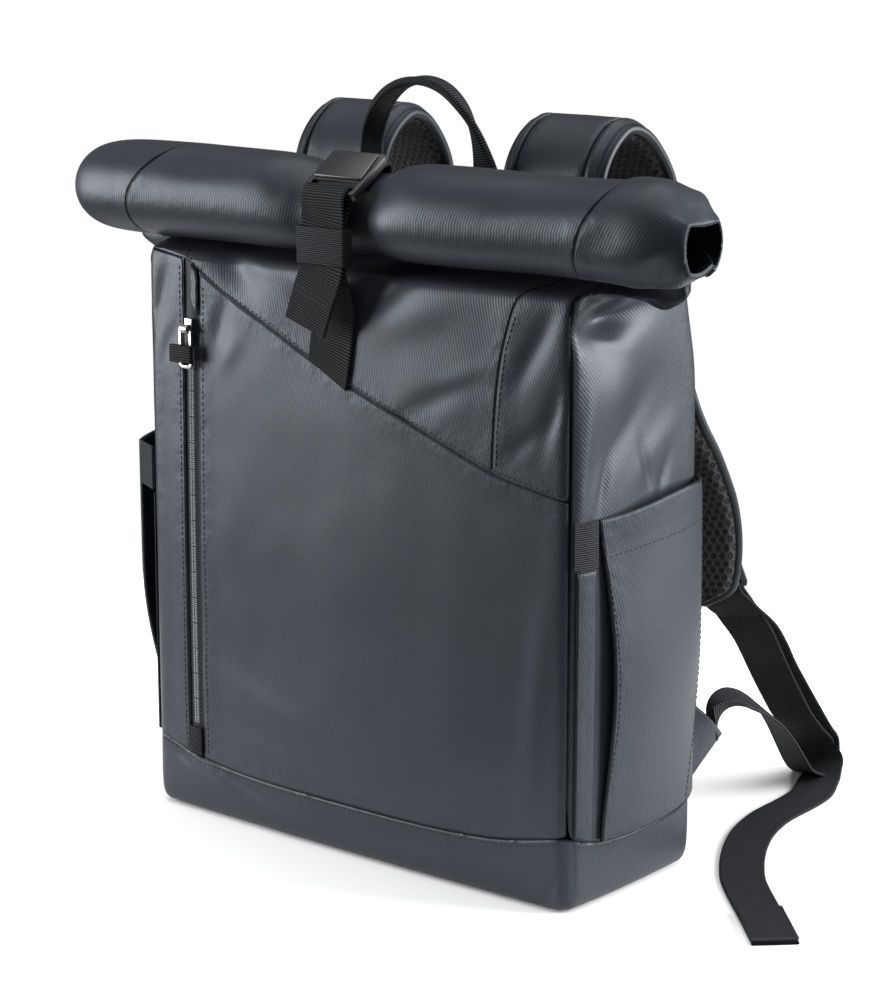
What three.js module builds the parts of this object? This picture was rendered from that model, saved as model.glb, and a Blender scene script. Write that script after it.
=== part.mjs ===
// A rolltop backpack standing on its base, in millimetres.
// X points to the right, Y back towards the shoulder straps and Z up; the front faces -Y.
// The origin is the middle of the base's underside.
import * as THREE from "three";

const { lerp, clamp, degToRad, smoothstep } = THREE.MathUtils;

// Sizes of the body
const bodyWidth = 304;
const bodyDepth = 115;
const foldHeight = 324;
const cornerRadius = 9;
const clothThickness = 2;
const backPadThickness = 9;
const seamGap = 0.4;
const frontBulge = 6;
const sideBulge = 6;
const backBulge = 5;
const backLean = 10;

// Sizes of the base tray and of the seams on the front
const baseHeight = 44;
const frontSeamSag = 13;
const sideSeamSag = 9;
const baseEdgeRadius = 8;
const sideSeamAcross = 0.842;
const strapSeamDrop = 8;

// Sizes of the roll
const rollRadius = 28;
const rollForward = 41;
const rollRise = 35.5;
const rollLeftOverhang = 55;
const rollRightOverhang = 67;
const neckOverhang = 48;
const rollThickness = 3;
const rollPitch = 5.6;
const rollTurns = 1.6;
const rollStartAngle = degToRad(-25);
const rollSeamOffset = 4;
const rollStepsPerTurn = 15;
const rollSeamSkew = 11;
const strapDent = 9;
const strapDentReach = 30;
const earDrop = 12;

// Sizes of the front pocket's zip
const zipOffset = -115;
const zipSlotWidth = 12;
const zipDepth = 1.3;
const zipTapeThickness = 1.2;
const zipCoilHeight = 0.9;
const garageLength = 24.8;
const garageClearance = 2;
const sliderLength = 15;
const sliderWidth = 5.4;
const sliderThickness = 2.4;
const pullWire = 1.5;
const pullLength = 23;
const pullWidth = 9.4;
const pullTabLength = 16.5;
const pullTabHeight = 10;
const pullTabThickness = 2.6;
const endTabLength = 17;

// Sizes of the side pockets
const pocketTopFront = 212;
const pocketTopBack = 220;
const pocketStandOff = { right: 9, left: 20 };
const pocketHemThickness = 2;
const elasticWidth = 25;
const elasticThickness = 1.6;
const pleatHeight = 186;

// Sizes of the webbing and the buckle
const webbingThickness = 1.8;
const closureWidth = 30;
const closureOffset = -4;
const closureFootDrift = -6;
const closureTailDrift = -11;
const closureTailLength = 62;
const strapWebbingWidth = 25;
const handleWidth = 25;
const handleSpan = 82;
const handleRise = 88;
const handleOffset = 0;
const buckleLength = 34;
const buckleThickness = 4.5;
const buckleRail = 3;
const buckleTilt = degToRad(34);
const keeperHeight = 20;
const keeperThickness = 1;

// Sizes of the shoulder straps
const padWidth = 70;
const padEndWidth = 54;
const padThickness = 12;
const strapSpacing = 152;
const glideWall = 3;
const glideThickness = 3;
const glideAside = 12;
const glideRise = 12;
const glideAslant = 0.3;
const glideTilt = 0.4;
const glideClear = 1.8;
const anchorThickness = 3;
const anchorAcross = 0.03;
const hemLength = 46;
const anchorRise = 50;
const anchorDrop = 6;

// Clearances between pieces that touch, and between the neck and the roll's start
const neckGap = 1.9;
const touchGap = 0.35;

// The four sides of the body, counted round it from the front's left corner
const FRONT = 0;
const RIGHT = 1;
const BACK = 2;
const LEFT = 3;
const SIDES = [
  { along: [1, 0], out: [0, -1] },
  { along: [0, 1], out: [1, 0] },
  { along: [-1, 0], out: [0, 1] },
  { along: [0, -1], out: [-1, 0] },
];

// How full each side is at a share of the fold's height, as shares of its bulge
const fullnessRows = [
  { height: 0, front: 0.3, side: 0.2, back: 0.2 },
  { height: 0.12, front: 0.85, side: 0.6, back: 0.7 },
  { height: 0.36, front: 1, side: 1, back: 1 },
  { height: 0.62, front: 0.9, side: 0.8, back: 0.9 },
  { height: 0.86, front: 0.5, side: 0.35, back: 0.4 },
  { height: 1, front: 0.15, side: 0, back: 0 },
];

// Dents and folds: the middle and reach as shares of the side's width and the fold's height,
// the depth in shares of the bulge, outwards when positive
const foldRows = [
  { side: RIGHT, across: 0.24, height: 0.955, reachAcross: 0.22, reachHeight: 0.045, slant: -1.2, depth: -1.3 },
  { side: RIGHT, across: 0.3, height: 0.87, reachAcross: 0.26, reachHeight: 0.06, slant: -1.6, depth: 0.7 },
  { side: RIGHT, across: 0.62, height: 0.8, reachAcross: 0.34, reachHeight: 0.13, slant: 0, depth: -0.5 },
  { side: LEFT, across: 0.76, height: 0.955, reachAcross: 0.22, reachHeight: 0.045, slant: 1.2, depth: -1.3 },
  { side: LEFT, across: 0.4, height: 0.8, reachAcross: 0.34, reachHeight: 0.13, slant: 0, depth: -0.5 },
  { side: FRONT, across: 0.5, height: 0.9, reachAcross: 0.3, reachHeight: 0.12, slant: 0, depth: -0.35 },
  { side: FRONT, across: 0.7, height: 0.84, reachAcross: 0.18, reachHeight: 0.1, slant: 0.8, depth: 0.3 },
  { side: FRONT, across: 0.62, height: 0.2, reachAcross: 0.34, reachHeight: 0.09, slant: 0, depth: 0.35 },
  { side: FRONT, across: 0.36, height: 0.5, reachAcross: 0.16, reachHeight: 0.3, slant: 0.15, depth: -0.25 },
];

// The diagonal seam across the front: its height as a share of the fold's height
const diagonalRows = [
  { across: 0, height: 1.031 },
  { across: 0.07, height: 1.02 },
  { across: 0.168, height: 0.963 },
  { across: 0.2, height: 0.946 },
  { across: 0.326, height: 0.9 },
  { across: 0.41, height: 0.861 },
  { across: 0.513, height: 0.824 },
  { across: 0.724, height: 0.756 },
  { across: 0.842, height: 0.716 },
  { across: 1, height: 0.688 },
];

// How far the seam at the front's right leans outwards as it rises, as a share of the width
const sideSeamRows = [
  { height: 0.7, lean: 0 },
  { height: 0.85, lean: 0.006 },
  { height: 0.92, lean: 0.017 },
  { height: 0.99, lean: 0.041 },
  { height: 1.14, lean: 0.08 },
  { height: 1.2, lean: 0.09 },
];

// The walls closing in under the roll: each row is a step along the cloth, with how far the front
// and the back have come from the fold towards the neck, and how far the sides have flared
const closingRows = [
  { step: 0, frontIn: 0, frontUp: 0, backIn: 0, backUp: 0, flare: 0, ear: 0 },
  { step: 0.2, frontIn: 0.09, frontUp: 0.19, backIn: 0.1, backUp: 0.26, flare: 0.14, ear: 0.2 },
  { step: 0.36, frontIn: 0.25, frontUp: 0.25, backIn: 0.29, backUp: 0.44, flare: 0.34, ear: 0.7 },
  { step: 0.54, frontIn: 0.5, frontUp: 0.28, backIn: 0.5, backUp: 0.66, flare: 0.62, ear: 1 },
  { step: 0.76, frontIn: 0.83, frontUp: 0.44, backIn: 0.77, backUp: 0.86, flare: 0.88, ear: 0.5 },
  { step: 1, frontIn: 1, frontUp: 1, backIn: 1, backUp: 1, flare: 1, ear: 0 },
];

// Sections along the roll from its left end to its right end: where, as a share of its half length,
// its radius, depth and height as shares, and its lift as a share of the radius
const rollRows = [
  { along: -1, radius: 0.62, depth: 1, height: 1, lift: 0 },
  { along: -0.975, radius: 0.84, depth: 1, height: 1, lift: 0 },
  { along: -0.92, radius: 0.98, depth: 1, height: 1, lift: 0 },
  { along: -0.74, radius: 1.02, depth: 1, height: 1, lift: 0 },
  { along: -0.45, radius: 1, depth: 1, height: 1, lift: 0.01 },
  { along: 0, radius: 1, depth: 1, height: 1, lift: 0 },
  { along: 0.35, radius: 1.01, depth: 1, height: 1, lift: 0.02 },
  { along: 0.62, radius: 0.96, depth: 1, height: 1, lift: 0.05 },
  { along: 0.84, radius: 1.04, depth: 0.98, height: 1, lift: 0.08 },
  { along: 0.95, radius: 1, depth: 0.86, height: 0.98, lift: 0.06 },
  { along: 1, radius: 0.86, depth: 0.74, height: 0.92, lift: 0 },
];

// Route of a shoulder strap's middle from its root over the arch to its end: sideways as a share of
// half the spacing, back as a share of the depth, up as a share of the roll's height, the way that
// its width turns in degrees, and how far its width has gone from the top's to the end's
const padRows = [
  { side: 1, back: 0.309, up: 0.9365, facing: 0, narrow: 0 },
  { side: 1, back: 0.226, up: 0.996, facing: 0, narrow: 0 },
  { side: 1, back: 0.217, up: 1.043, facing: 0, narrow: 0 },
  { side: 1, back: 0.291, up: 1.088, facing: 0, narrow: 0 },
  { side: 1, back: 0.435, up: 1.118, facing: 0, narrow: 0 },
  { side: 1.007, back: 0.557, up: 1.108, facing: 1, narrow: 0 },
  { side: 1.013, back: 0.661, up: 1.078, facing: 2, narrow: 0 },
  { side: 1.02, back: 0.743, up: 1.04, facing: 3, narrow: 0.05 },
  { side: 1.026, back: 0.787, up: 0.996, facing: 4, narrow: 0.1 },
  { side: 1.039, back: 0.817, up: 0.896, facing: 5, narrow: 0.2 },
  { side: 1.066, back: 0.822, up: 0.776, facing: 9, narrow: 0.4 },
  { side: 1.145, back: 0.896, up: 0.665, facing: 18, narrow: 0.6 },
  { side: 1.211, back: 1.043, up: 0.576, facing: 25, narrow: 0.75 },
  { side: 1.25, back: 1.148, up: 0.501, facing: 29, narrow: 0.85 },
  { side: 1.276, back: 1.178, up: 0.445, facing: 30, narrow: 0.95 },
  { side: 1.27, back: 1.178, up: 0.389, facing: 30, narrow: 1 },
  { side: 1.263, back: 1.174, up: 0.345, facing: 30, narrow: 1 },
];

// Route of the strap's webbing from the anchor down to the floor and up to the glide: shares of
// half the body's width, of its depth and of the roll's height, with the way that the webbing's
// width points, turned in degrees from +X and tipped upwards
const webbingRows = [
  { side: 0.98, back: 0.704, up: 0.2003, facing: -75, lean: 32 },
  { side: 0.975, back: 0.743, up: 0.217, facing: -70, lean: 30 },
  { side: 0.961, back: 0.817, up: 0.2253, facing: -50, lean: 4 },
  { side: 0.938, back: 0.939, up: 0.2225, facing: -28, lean: -14 },
  { side: 0.914, back: 1.061, up: 0.2114, facing: -14, lean: -20 },
  { side: 0.895, back: 1.274, up: 0.1808, facing: -8, lean: -24 },
  { side: 0.855, back: 1.53, up: 0.1224, facing: -6, lean: -22 },
  { side: 0.816, back: 1.783, up: 0.0417, facing: -6, lean: -12 },
  { side: 0.793, back: 1.93, up: 0.0111, facing: -2, lean: 0 },
  { side: 0.78, back: 2.017, up: 0, facing: 4, lean: 0 },
  { side: 0.776, back: 2.074, up: 0.0139, facing: 8, lean: 0 },
  { side: 0.77, back: 2.061, up: 0.0473, facing: 14, lean: 0 },
  { side: 0.743, back: 1.904, up: 0.1029, facing: 20, lean: 0 },
  { side: 0.711, back: 1.704, up: 0.2031, facing: 24, lean: 0 },
  { side: 0.707, back: 1.557, up: 0.2698, facing: 28, lean: 0 },
];

// Route of the same webbing's loose tail, from the glide down and along the floor
const tailRows = [
  { side: 0.717, back: 1.604, up: 0.2698, facing: 28, lean: 0 },
  { side: 0.727, back: 1.752, up: 0.2031, facing: 24, lean: 0 },
  { side: 0.76, back: 1.948, up: 0.1113, facing: 20, lean: 0 },
  { side: 0.786, back: 2.091, up: 0.0501, facing: 6, lean: 0 },
  { side: 0.806, back: 2.087, up: 0.025, facing: -20, lean: 0 },
  { side: 0.839, back: 1.991, up: 0.0083, facing: -16, lean: 0 },
  { side: 0.882, back: 1.852, up: 0.0006, facing: 0, lean: 0 },
  { side: 0.928, back: 1.696, up: 0, facing: 8, lean: 0 },
  { side: 0.947, back: 1.478, up: 0, facing: 2, lean: 0 },
  { side: 0.957, back: 1.27, up: 0, facing: 8, lean: 0 },
  { side: 1.007, back: 1.009, up: 0, facing: 20, lean: 0 },
  { side: 1.099, back: 0.748, up: 0, facing: 30, lean: 0 },
  { side: 1.197, back: 0.539, up: 0, facing: 36, lean: 0 },
  { side: 1.27, back: 0.409, up: 0, facing: 40, lean: 0 },
  { side: 1.401, back: 0.226, up: 0, facing: 44, lean: 0 },
  { side: 1.513, back: 0.078, up: 0, facing: 44, lean: 0 },
  { side: 1.691, back: -0.165, up: 0, facing: 44, lean: 0 },
];

// Route of the left tail, which lies behind the bag
const hiddenTailRows = [
  ...tailRows.slice(0, 7),
  { side: 0.9, back: 1.7, up: 0, facing: -8, lean: 0 },
  { side: 0.84, back: 1.52, up: 0, facing: -32, lean: 0 },
  { side: 0.68, back: 1.36, up: 0, facing: -58, lean: 0 },
  { side: 0.45, back: 1.28, up: 0, facing: -76, lean: 0 },
  { side: 0.12, back: 1.25, up: 0, facing: -90, lean: 0 },
];

// Half of the handle's arch from a foot to the top: sideways as a share of half the span, up as a
// share of the rise, and the twist of the webbing
const handleRows = [
  { side: 1, up: 0, twist: 0 },
  { side: 1, up: 0.32, twist: 0 },
  { side: 0.97, up: 0.52, twist: 8 },
  { side: 0.87, up: 0.7, twist: 40 },
  { side: 0.66, up: 0.86, twist: 68 },
  { side: 0.36, up: 0.965, twist: 82 },
  { side: 0, up: 1, twist: 90 },
];

// Sizes worked out from those above
const halfWidth = bodyWidth / 2;
const rollHeight = foldHeight + rollRise;
const halfDepth = bodyDepth / 2;
const neckY = -rollForward + (rollRadius - rollThickness / 2) * Math.cos(rollStartAngle);
const neckZ = rollHeight + (rollRadius - rollThickness / 2) * Math.sin(rollStartAngle) - neckGap;
const neckHalfGap = clothThickness + 1;
const closingRun = foldHeight * 0.18;
const rollSeam = halfWidth + rollSeamOffset;
const neckLine = foldHeight + closingRun;
const strapSeam = foldHeight - strapSeamDrop;
const handleRoot = foldHeight + 0.46 * closingRun;
const wallShares = [0, 0.14, 0.3, 0.46, 0.62, 0.76, 0.86, 0.93, 1];
const halfSlot = zipSlotWidth / 2;

// A value read from a table's column between its rows, smooth through them
function tableValue(rows, key, column, at) {
  const last = rows.length - 1;
  let i = 0;
  while (i < last - 1 && at > rows[i + 1][key]) i += 1;
  const span = rows[i + 1][key] - rows[i][key];
  const u = clamp((at - rows[i][key]) / span, 0, 1);
  const slope = (k) => {
    const a = rows[Math.max(k - 1, 0)];
    const b = rows[Math.min(k + 1, last)];
    return (b[column] - a[column]) / (b[key] - a[key]);
  };
  const p = rows[i][column];
  const q = rows[i + 1][column];
  const cubic = 2 * u ** 3 - 3 * u ** 2 + 1;
  return (
    cubic * p + (1 - cubic) * q + (u ** 3 - 2 * u ** 2 + u) * span * slope(i) + (u ** 3 - u ** 2) * span * slope(i + 1)
  );
}

// A closed body from triangles over points, turned to face outwards
function bodyFrom(points, triangles) {
  const kept = triangles.filter(([a, b, c]) => {
    const [p, q, r] = [points[a], points[b], points[c]];
    return p.distanceToSquared(q) > 1e-6 && q.distanceToSquared(r) > 1e-6 && r.distanceToSquared(p) > 1e-6;
  });
  let volume = 0;
  for (const [a, b, c] of kept) volume += points[a].dot(points[b].clone().cross(points[c]));
  const facing = volume < 0 ? kept.map(([a, b, c]) => [a, c, b]) : kept;
  const geometry = new THREE.BufferGeometry().setFromPoints(points);
  geometry.setIndex(facing.flat());
  geometry.computeVertexNormals();
  return geometry;
}

// A sheet between two grids of points, closed along its edges; a looped grid joins its last column
// to its first
function sheetFrom(outer, inner, looped = false) {
  const rows = outer.length;
  const columns = outer[0].length;
  const points = [...outer.flat(), ...inner.flat()];
  const at = (layer, i, j) => (layer * rows + i) * columns + (j % columns);
  const steps = looped ? columns : columns - 1;
  const triangles = [];
  const quad = (a, b, c, d) => triangles.push([a, b, c], [a, c, d]);
  for (let i = 0; i < rows - 1; i += 1) {
    for (let j = 0; j < steps; j += 1) {
      quad(at(0, i, j), at(0, i, j + 1), at(0, i + 1, j + 1), at(0, i + 1, j));
      quad(at(1, i, j), at(1, i + 1, j), at(1, i + 1, j + 1), at(1, i, j + 1));
    }
    if (looped) continue;
    quad(at(0, i, 0), at(0, i + 1, 0), at(1, i + 1, 0), at(1, i, 0));
    quad(at(0, i, steps), at(1, i, steps), at(1, i + 1, steps), at(0, i + 1, steps));
  }
  for (let j = 0; j < steps; j += 1) {
    quad(at(0, 0, j), at(1, 0, j), at(1, 0, j + 1), at(0, 0, j + 1));
    quad(at(0, rows - 1, j), at(0, rows - 1, j + 1), at(1, rows - 1, j + 1), at(1, rows - 1, j));
  }
  return bodyFrom(points, triangles);
}

// A body through rings of points, closed at both ends
function loft(rings) {
  const sides = rings[0].length;
  const last = (rings.length - 1) * sides;
  const triangles = [];
  for (let i = 0; i < rings.length - 1; i += 1) {
    for (let j = 0; j < sides; j += 1) {
      const [a, b] = [i * sides + j, i * sides + ((j + 1) % sides)];
      triangles.push([a, b, b + sides], [a, b + sides, a + sides]);
    }
  }
  for (let j = 1; j < sides - 1; j += 1) {
    triangles.push([0, j + 1, j], [last, last + j, last + j + 1]);
  }
  return bodyFrom(rings.flat(), triangles);
}

// A section with square corners, for webbing
function flatSection(width, thickness) {
  const [a, b] = [width / 2, thickness / 2];
  return [[-a, -b], [a, -b], [a, b], [-a, b]];
}

// A section with round edges, for a pad
function padSection(width, thickness) {
  const points = [];
  const round = thickness / 2;
  for (const end of [1, -1]) {
    for (const angle of [-90, -35, 35, 90]) {
      const turned = degToRad(angle);
      points.push([end * (width / 2 - round + round * Math.cos(turned)), end * round * Math.sin(turned)]);
    }
  }
  return points;
}

// Places along a smooth route through rows of points, each with the direction across the strip
function stationsAlong(places, acrossAngles, perPlace = 2) {
  const curve = new THREE.CatmullRomCurve3(places, false, "centripetal");
  const stations = [];
  const count = perPlace * (places.length - 1);
  for (let i = 0; i <= count; i += 1) {
    const t = i / count;
    const at = t * (places.length - 1);
    const k = Math.min(Math.floor(at), places.length - 2);
    const facing = degToRad(lerp(acrossAngles[k].facing, acrossAngles[k + 1].facing, at - k));
    const lean = degToRad(lerp(acrossAngles[k].lean ?? 0, acrossAngles[k + 1].lean ?? 0, at - k));
    const centre = curve.getPoint(t);
    const tangent = curve.getTangent(t);
    const across = new THREE.Vector3(
      Math.cos(facing) * Math.cos(lean),
      Math.sin(facing) * Math.cos(lean),
      Math.sin(lean),
    );
    across.addScaledVector(tangent, -across.dot(tangent)).normalize();
    const normal = tangent.clone().cross(across);
    stations.push({ centre, across, normal, tangent, t });
  }
  return stations;
}

// Places used as they are, each with the direction across the strip; the way through a place is
// the mean of the ways to it and from it
function stationsThrough(places, across = new THREE.Vector3(1, 0, 0)) {
  return places.map((centre, i) => {
    const before = places[Math.max(i - 1, 0)];
    const after = places[Math.min(i + 1, places.length - 1)];
    const into = centre.clone().sub(before).normalize();
    const out = after.clone().sub(centre).normalize();
    const tangent = into.add(out).normalize();
    const level = across.clone().addScaledVector(tangent, -across.dot(tangent)).normalize();
    return { centre, across: level, normal: tangent.clone().cross(level), tangent, t: i / (places.length - 1) };
  });
}

// A strip swept through stations, with a section that may change along it
function strip(stations, sectionAt, slantAt = () => 0) {
  return loft(
    stations.map((station) =>
      sectionAt(station.t).map(([a, b]) =>
        station.centre
          .clone()
          .addScaledVector(station.across, a)
          .addScaledVector(station.normal, b)
          .addScaledVector(station.tangent, a * slantAt(station.t)),
      ),
    ),
  );
}

// The body's wall below the fold, on a side, at a share across it and a height
function wallPoint(side, across, height) {
  const { along, out } = SIDES[side];
  const wide = side === FRONT || side === BACK;
  const half = wide ? halfWidth : halfDepth;
  const distance = wide ? halfDepth : halfWidth;
  const straight = half - cornerRadius;
  const arc = (cornerRadius * Math.PI) / 4;
  const arcShare = arc / (2 * arc + 2 * straight);
  const end = across < 0.5 ? -1 : 1;
  const fromEnd = across < 0.5 ? across : 1 - across;
  const share = clamp(height / foldHeight, 0, 1);
  const [bulge, column] = { 0: [frontBulge, "front"], 2: [backBulge, "back"] }[side] ?? [sideBulge, "side"];
  let a = lerp(-straight, straight, (across - arcShare) / (1 - 2 * arcShare));
  let o = distance;
  if (fromEnd < arcShare) {
    const angle = (Math.PI / 4) * (1 - fromEnd / arcShare);
    a = end * (straight + cornerRadius * Math.sin(angle));
    o = distance - cornerRadius + cornerRadius * Math.cos(angle);
  }
  o += bulge * tableValue(fullnessRows, "height", column, share) * (1 - (2 * across - 1) ** 2);
  o += bulge * foldDepth(side, across, share);
  const lean = backLean * smoothstep(share, 0.84, 1);
  const y = along[1] * a + out[1] * o;
  return new THREE.Vector3(along[0] * a + out[0] * o, y - (lean * (y + halfDepth)) / bodyDepth, height);
}

// How far the dents and folds push a side out, in bulges
function foldDepth(side, across, share) {
  let depth = 0;
  for (const row of foldRows) {
    if (row.side !== side) continue;
    const up = (share - row.height) / row.reachHeight;
    const over = (across - row.across) / row.reachAcross + row.slant * up * 0.3;
    const far = over ** 2 + up ** 2;
    if (far < 1) depth += row.depth * (1 - far) ** 2;
  }
  const nearCorner = Math.min(across, 1 - across);
  return depth * smoothstep(nearCorner, 0, 0.08);
}

// The flattened neck's outline, on a side and at a share across it
function neckPoint(side, across) {
  const frontY = neckY - neckHalfGap;
  const backY = neckY + neckHalfGap;
  if (side === FRONT) return new THREE.Vector3(lerp(-halfWidth, halfWidth, across), frontY, neckZ);
  if (side === BACK) return new THREE.Vector3(lerp(halfWidth, -halfWidth, across), backY, neckZ);
  const fromFront = side === RIGHT ? across : 1 - across;
  const run = neckOverhang - neckHalfGap;
  const length = 2 * run + Math.PI * neckHalfGap;
  const gone = fromFront * length;
  const tip = halfWidth + run;
  let x = halfWidth + gone;
  let y = frontY;
  if (gone > run && gone < length - run) {
    const angle = (gone - run) / neckHalfGap - Math.PI / 2;
    x = tip + neckHalfGap * Math.cos(angle);
    y = neckY + neckHalfGap * Math.sin(angle);
  } else if (gone >= length - run) {
    x = halfWidth + length - gone;
    y = backY;
  }
  return new THREE.Vector3(side === RIGHT ? x : -x, y, neckZ);
}

// The body's outer surface at a girth counted in sides and a length up the cloth
function bodyPoint(girth, height) {
  const whole = Math.floor(girth);
  const side = ((whole % 4) + 4) % 4;
  const across = girth - whole;
  const wall = wallPoint(side, across, Math.min(height, foldHeight));
  if (height <= foldHeight) return wall;
  const step = Math.min((height - foldHeight) / closingRun, 1);
  const read = (column) => tableValue(closingRows, "step", column, step);
  const neck = neckPoint(side, across);
  const toBack = { 0: 0, 1: across, 2: 1, 3: 1 - across }[side];
  const inwards = lerp(read("frontIn"), read("backIn"), toBack);
  const upwards = lerp(read("frontUp"), read("backUp"), toBack);
  const ear = earDrop * read("ear") * Math.sin(Math.PI * toBack) ** 2;
  return new THREE.Vector3(
    lerp(wall.x, neck.x, read("flare")),
    lerp(wall.y, neck.y, inwards),
    lerp(foldHeight, neckZ, upwards) - ear,
  );
}

// The direction into the bag from its outer surface
function inwardAt(girth, height) {
  const reach = 2;
  const whole = Math.floor(girth + 1e-9);
  const sideLength = whole % 2 === 0 ? bodyWidth : bodyDepth;
  const around = reach / sideLength;
  const low = bodyPoint(girth - around, height);
  const high = bodyPoint(girth + around, height);
  const lowest = Math.max(height - reach, 0);
  const highest = Math.min(height + reach, neckLine);
  const down = bodyPoint(girth, lowest);
  const up = bodyPoint(girth, highest);
  return up.sub(down).cross(high.sub(low)).normalize();
}

// A point of the wall, sunk inwards by a depth
function skinPoint(girth, height, depth) {
  return bodyPoint(girth, height).addScaledVector(inwardAt(girth, height), depth);
}

// Where cloth is folded along the girth, so that neighbouring panels share their creases
function girthStations(low, high) {
  const shared = [];
  for (let side = 0; side < 4; side += 1) {
    const wide = side % 2 === 0;
    const half = wide ? halfWidth : halfDepth;
    const corner = (cornerRadius * 0.8) / (2 * half);
    const steps = wide ? 10 : 7;
    shared.push(side + corner / 2, side + corner);
    for (let i = 1; i < steps; i += 1) shared.push(side + lerp(corner, 1 - corner, i / steps));
    shared.push(side + 1 - corner, side + 1 - corner / 2);
  }
  const margin = 0.006;
  const near = (g, other) => Math.abs(g - other) < margin;
  const seams = [zipLeft, zipRight, sideSeamAcross].filter((g) => !near(g, low) && !near(g, high));
  const kept = shared.filter((g) => !seams.some((seam) => near(g, seam)));
  const inside = [...kept, ...seams].filter((g) => g > low + margin && g < high - margin);
  return [low, ...inside.sort((a, b) => a - b), high];
}

// Heights of a panel's rows: shares of the way to its upper edge, or to the fold and then the
// closing table's own steps where the panel runs up to the neck
function heightStations(low, high, shares) {
  if (high < neckLine) return shares.map((share) => lerp(low, high, share));
  const closing = closingRows.slice(1).map((row) => foldHeight + row.step * closingRun);
  const fold = Math.max(foldHeight, low + 1);
  if (low > strapSeam - 1 || shares.length < wallShares.length) {
    return [...shares.map((share) => lerp(low, fold, share)), ...closing];
  }
  return [...shares.map((share) => lerp(low, strapSeam, share)), fold, ...closing];
}

// A panel of the body between two girths and two edges given as functions of the girth
function panel(lowGirth, highGirth, lowEdge, highEdge, options) {
  const { thickness = clothThickness, shares = wallShares, shift = () => 0, kneed = false } = options ?? {};
  const girths = girthStations(lowGirth, highGirth);
  const rowsOf = (girth) => {
    const high = highEdge(girth);
    if (!kneed) return heightStations(lowEdge(girth), high, shares);
    return [...heightStations(lowEdge(girth), Math.min(high - 1, foldHeight), shares), high];
  };
  const grid = (depth) =>
    girths.map((girth) =>
      rowsOf(girth).map((height) => skinPoint(girth + shift(girth, height), height, depth)),
    );
  return sheetFrom(grid(0), grid(thickness));
}

// The base seam's height round the body
function baseSeam(girth) {
  const across = girth - Math.floor(girth);
  const sag = Math.floor(girth) % 2 === 0 ? frontSeamSag : sideSeamSag;
  return baseHeight - sag * (1 - (2 * across - 1) ** 4);
}

// The diagonal seam's height across the front
function diagonalSeam(girth) {
  return foldHeight * tableValue(diagonalRows, "across", "height", girth);
}

// How far across the front an offset from its middle lies
function frontAcross(offset) {
  const straight = halfWidth - cornerRadius;
  const arc = (cornerRadius * Math.PI) / 4;
  const arcShare = arc / (2 * arc + 2 * straight);
  return arcShare + ((offset + straight) / (2 * straight)) * (1 - 2 * arcShare);
}

// The front's outer surface at an offset from its middle and a height
function frontSurface(offset, height) {
  return bodyPoint(frontAcross(offset), height);
}

const halfGap = seamGap / 2;
const sideGap = { wide: halfGap / bodyWidth, narrow: halfGap / bodyDepth };
const zipLeft = frontAcross(zipOffset - halfSlot);
const zipRight = frontAcross(zipOffset + halfSlot);

// The tray at the bottom, its walls up to the base seam and its edge rounded under
function basePanel() {
  const girths = girthStations(0, 4).slice(0, -1);
  const wallSteps = 2;
  const roundSteps = 2;
  const column = (girth, depth) => {
    const points = [];
    for (let i = 0; i <= wallSteps; i += 1) {
      const height = lerp(baseSeam(girth) - halfGap, baseEdgeRadius, i / wallSteps);
      points.push(skinPoint(girth, height, depth));
    }
    const inward = inwardAt(girth, baseEdgeRadius).setZ(0).normalize();
    const radius = baseEdgeRadius - depth;
    for (let i = 1; i <= roundSteps; i += 1) {
      const angle = (Math.PI / 2) * (i / roundSteps);
      const edge = bodyPoint(girth, baseEdgeRadius).addScaledVector(inward, baseEdgeRadius - radius * Math.cos(angle));
      points.push(edge.setZ(baseEdgeRadius - radius * Math.sin(angle)));
    }
    points.push(new THREE.Vector3(0, 0, depth));
    return points;
  };
  const transpose = (grid) => grid[0].map((_, i) => grid.map((line) => line[i]));
  const outer = girths.map((girth) => column(girth, 0));
  const inner = girths.map((girth) => column(girth, clothThickness));
  return sheetFrom(transpose(outer), transpose(inner), true);
}

// The base tray's top ring of points is not level, so panels above start a gap over it
const aboveBase = (girth) => baseSeam(girth) + halfGap;
const underDiagonal = (girth) => diagonalSeam(girth) - halfGap;
const aboveDiagonal = (girth) => diagonalSeam(girth) + halfGap;
const atNeck = () => neckLine;

const upperShares = [0, 0.3, 0.6, 0.82, 1];

// How far the front's right seam has leant at a height
function seamLean(height) {
  return tableValue(sideSeamRows, "height", "lean", height / foldHeight);
}

function frontPanelLeft() {
  return panel(sideGap.wide, zipLeft, aboveBase, underDiagonal, { kneed: true });
}

function frontPanelMain() {
  return panel(zipRight, 1 - sideGap.wide, aboveBase, underDiagonal, { kneed: true });
}

function frontUpperPanel() {
  const shift = (girth, height) => seamLean(height) * smoothstep(girth, 0.6, sideSeamAcross);
  return panel(sideGap.wide, sideSeamAcross - sideGap.wide, aboveDiagonal, atNeck, { shares: upperShares, shift });
}

function frontUpperSidePanel() {
  const shift = (girth, height) => (seamLean(height) * (1 - girth)) / (1 - sideSeamAcross);
  return panel(sideSeamAcross + sideGap.wide, 1 - sideGap.wide, aboveDiagonal, atNeck, { shares: upperShares, shift });
}

function sidePanel(side) {
  return panel(side + sideGap.narrow, side + 1 - sideGap.narrow, aboveBase, atNeck);
}

function backPanel() {
  const top = () => strapSeam - halfGap;
  return panel(BACK + sideGap.wide, BACK + 1 - sideGap.wide, aboveBase, top, {
    thickness: backPadThickness,
  });
}

function backExtension() {
  const bottom = () => strapSeam + halfGap;
  return panel(BACK + sideGap.wide, BACK + 1 - sideGap.wide, bottom, atNeck, { shares: [0, 1] });
}

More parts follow.
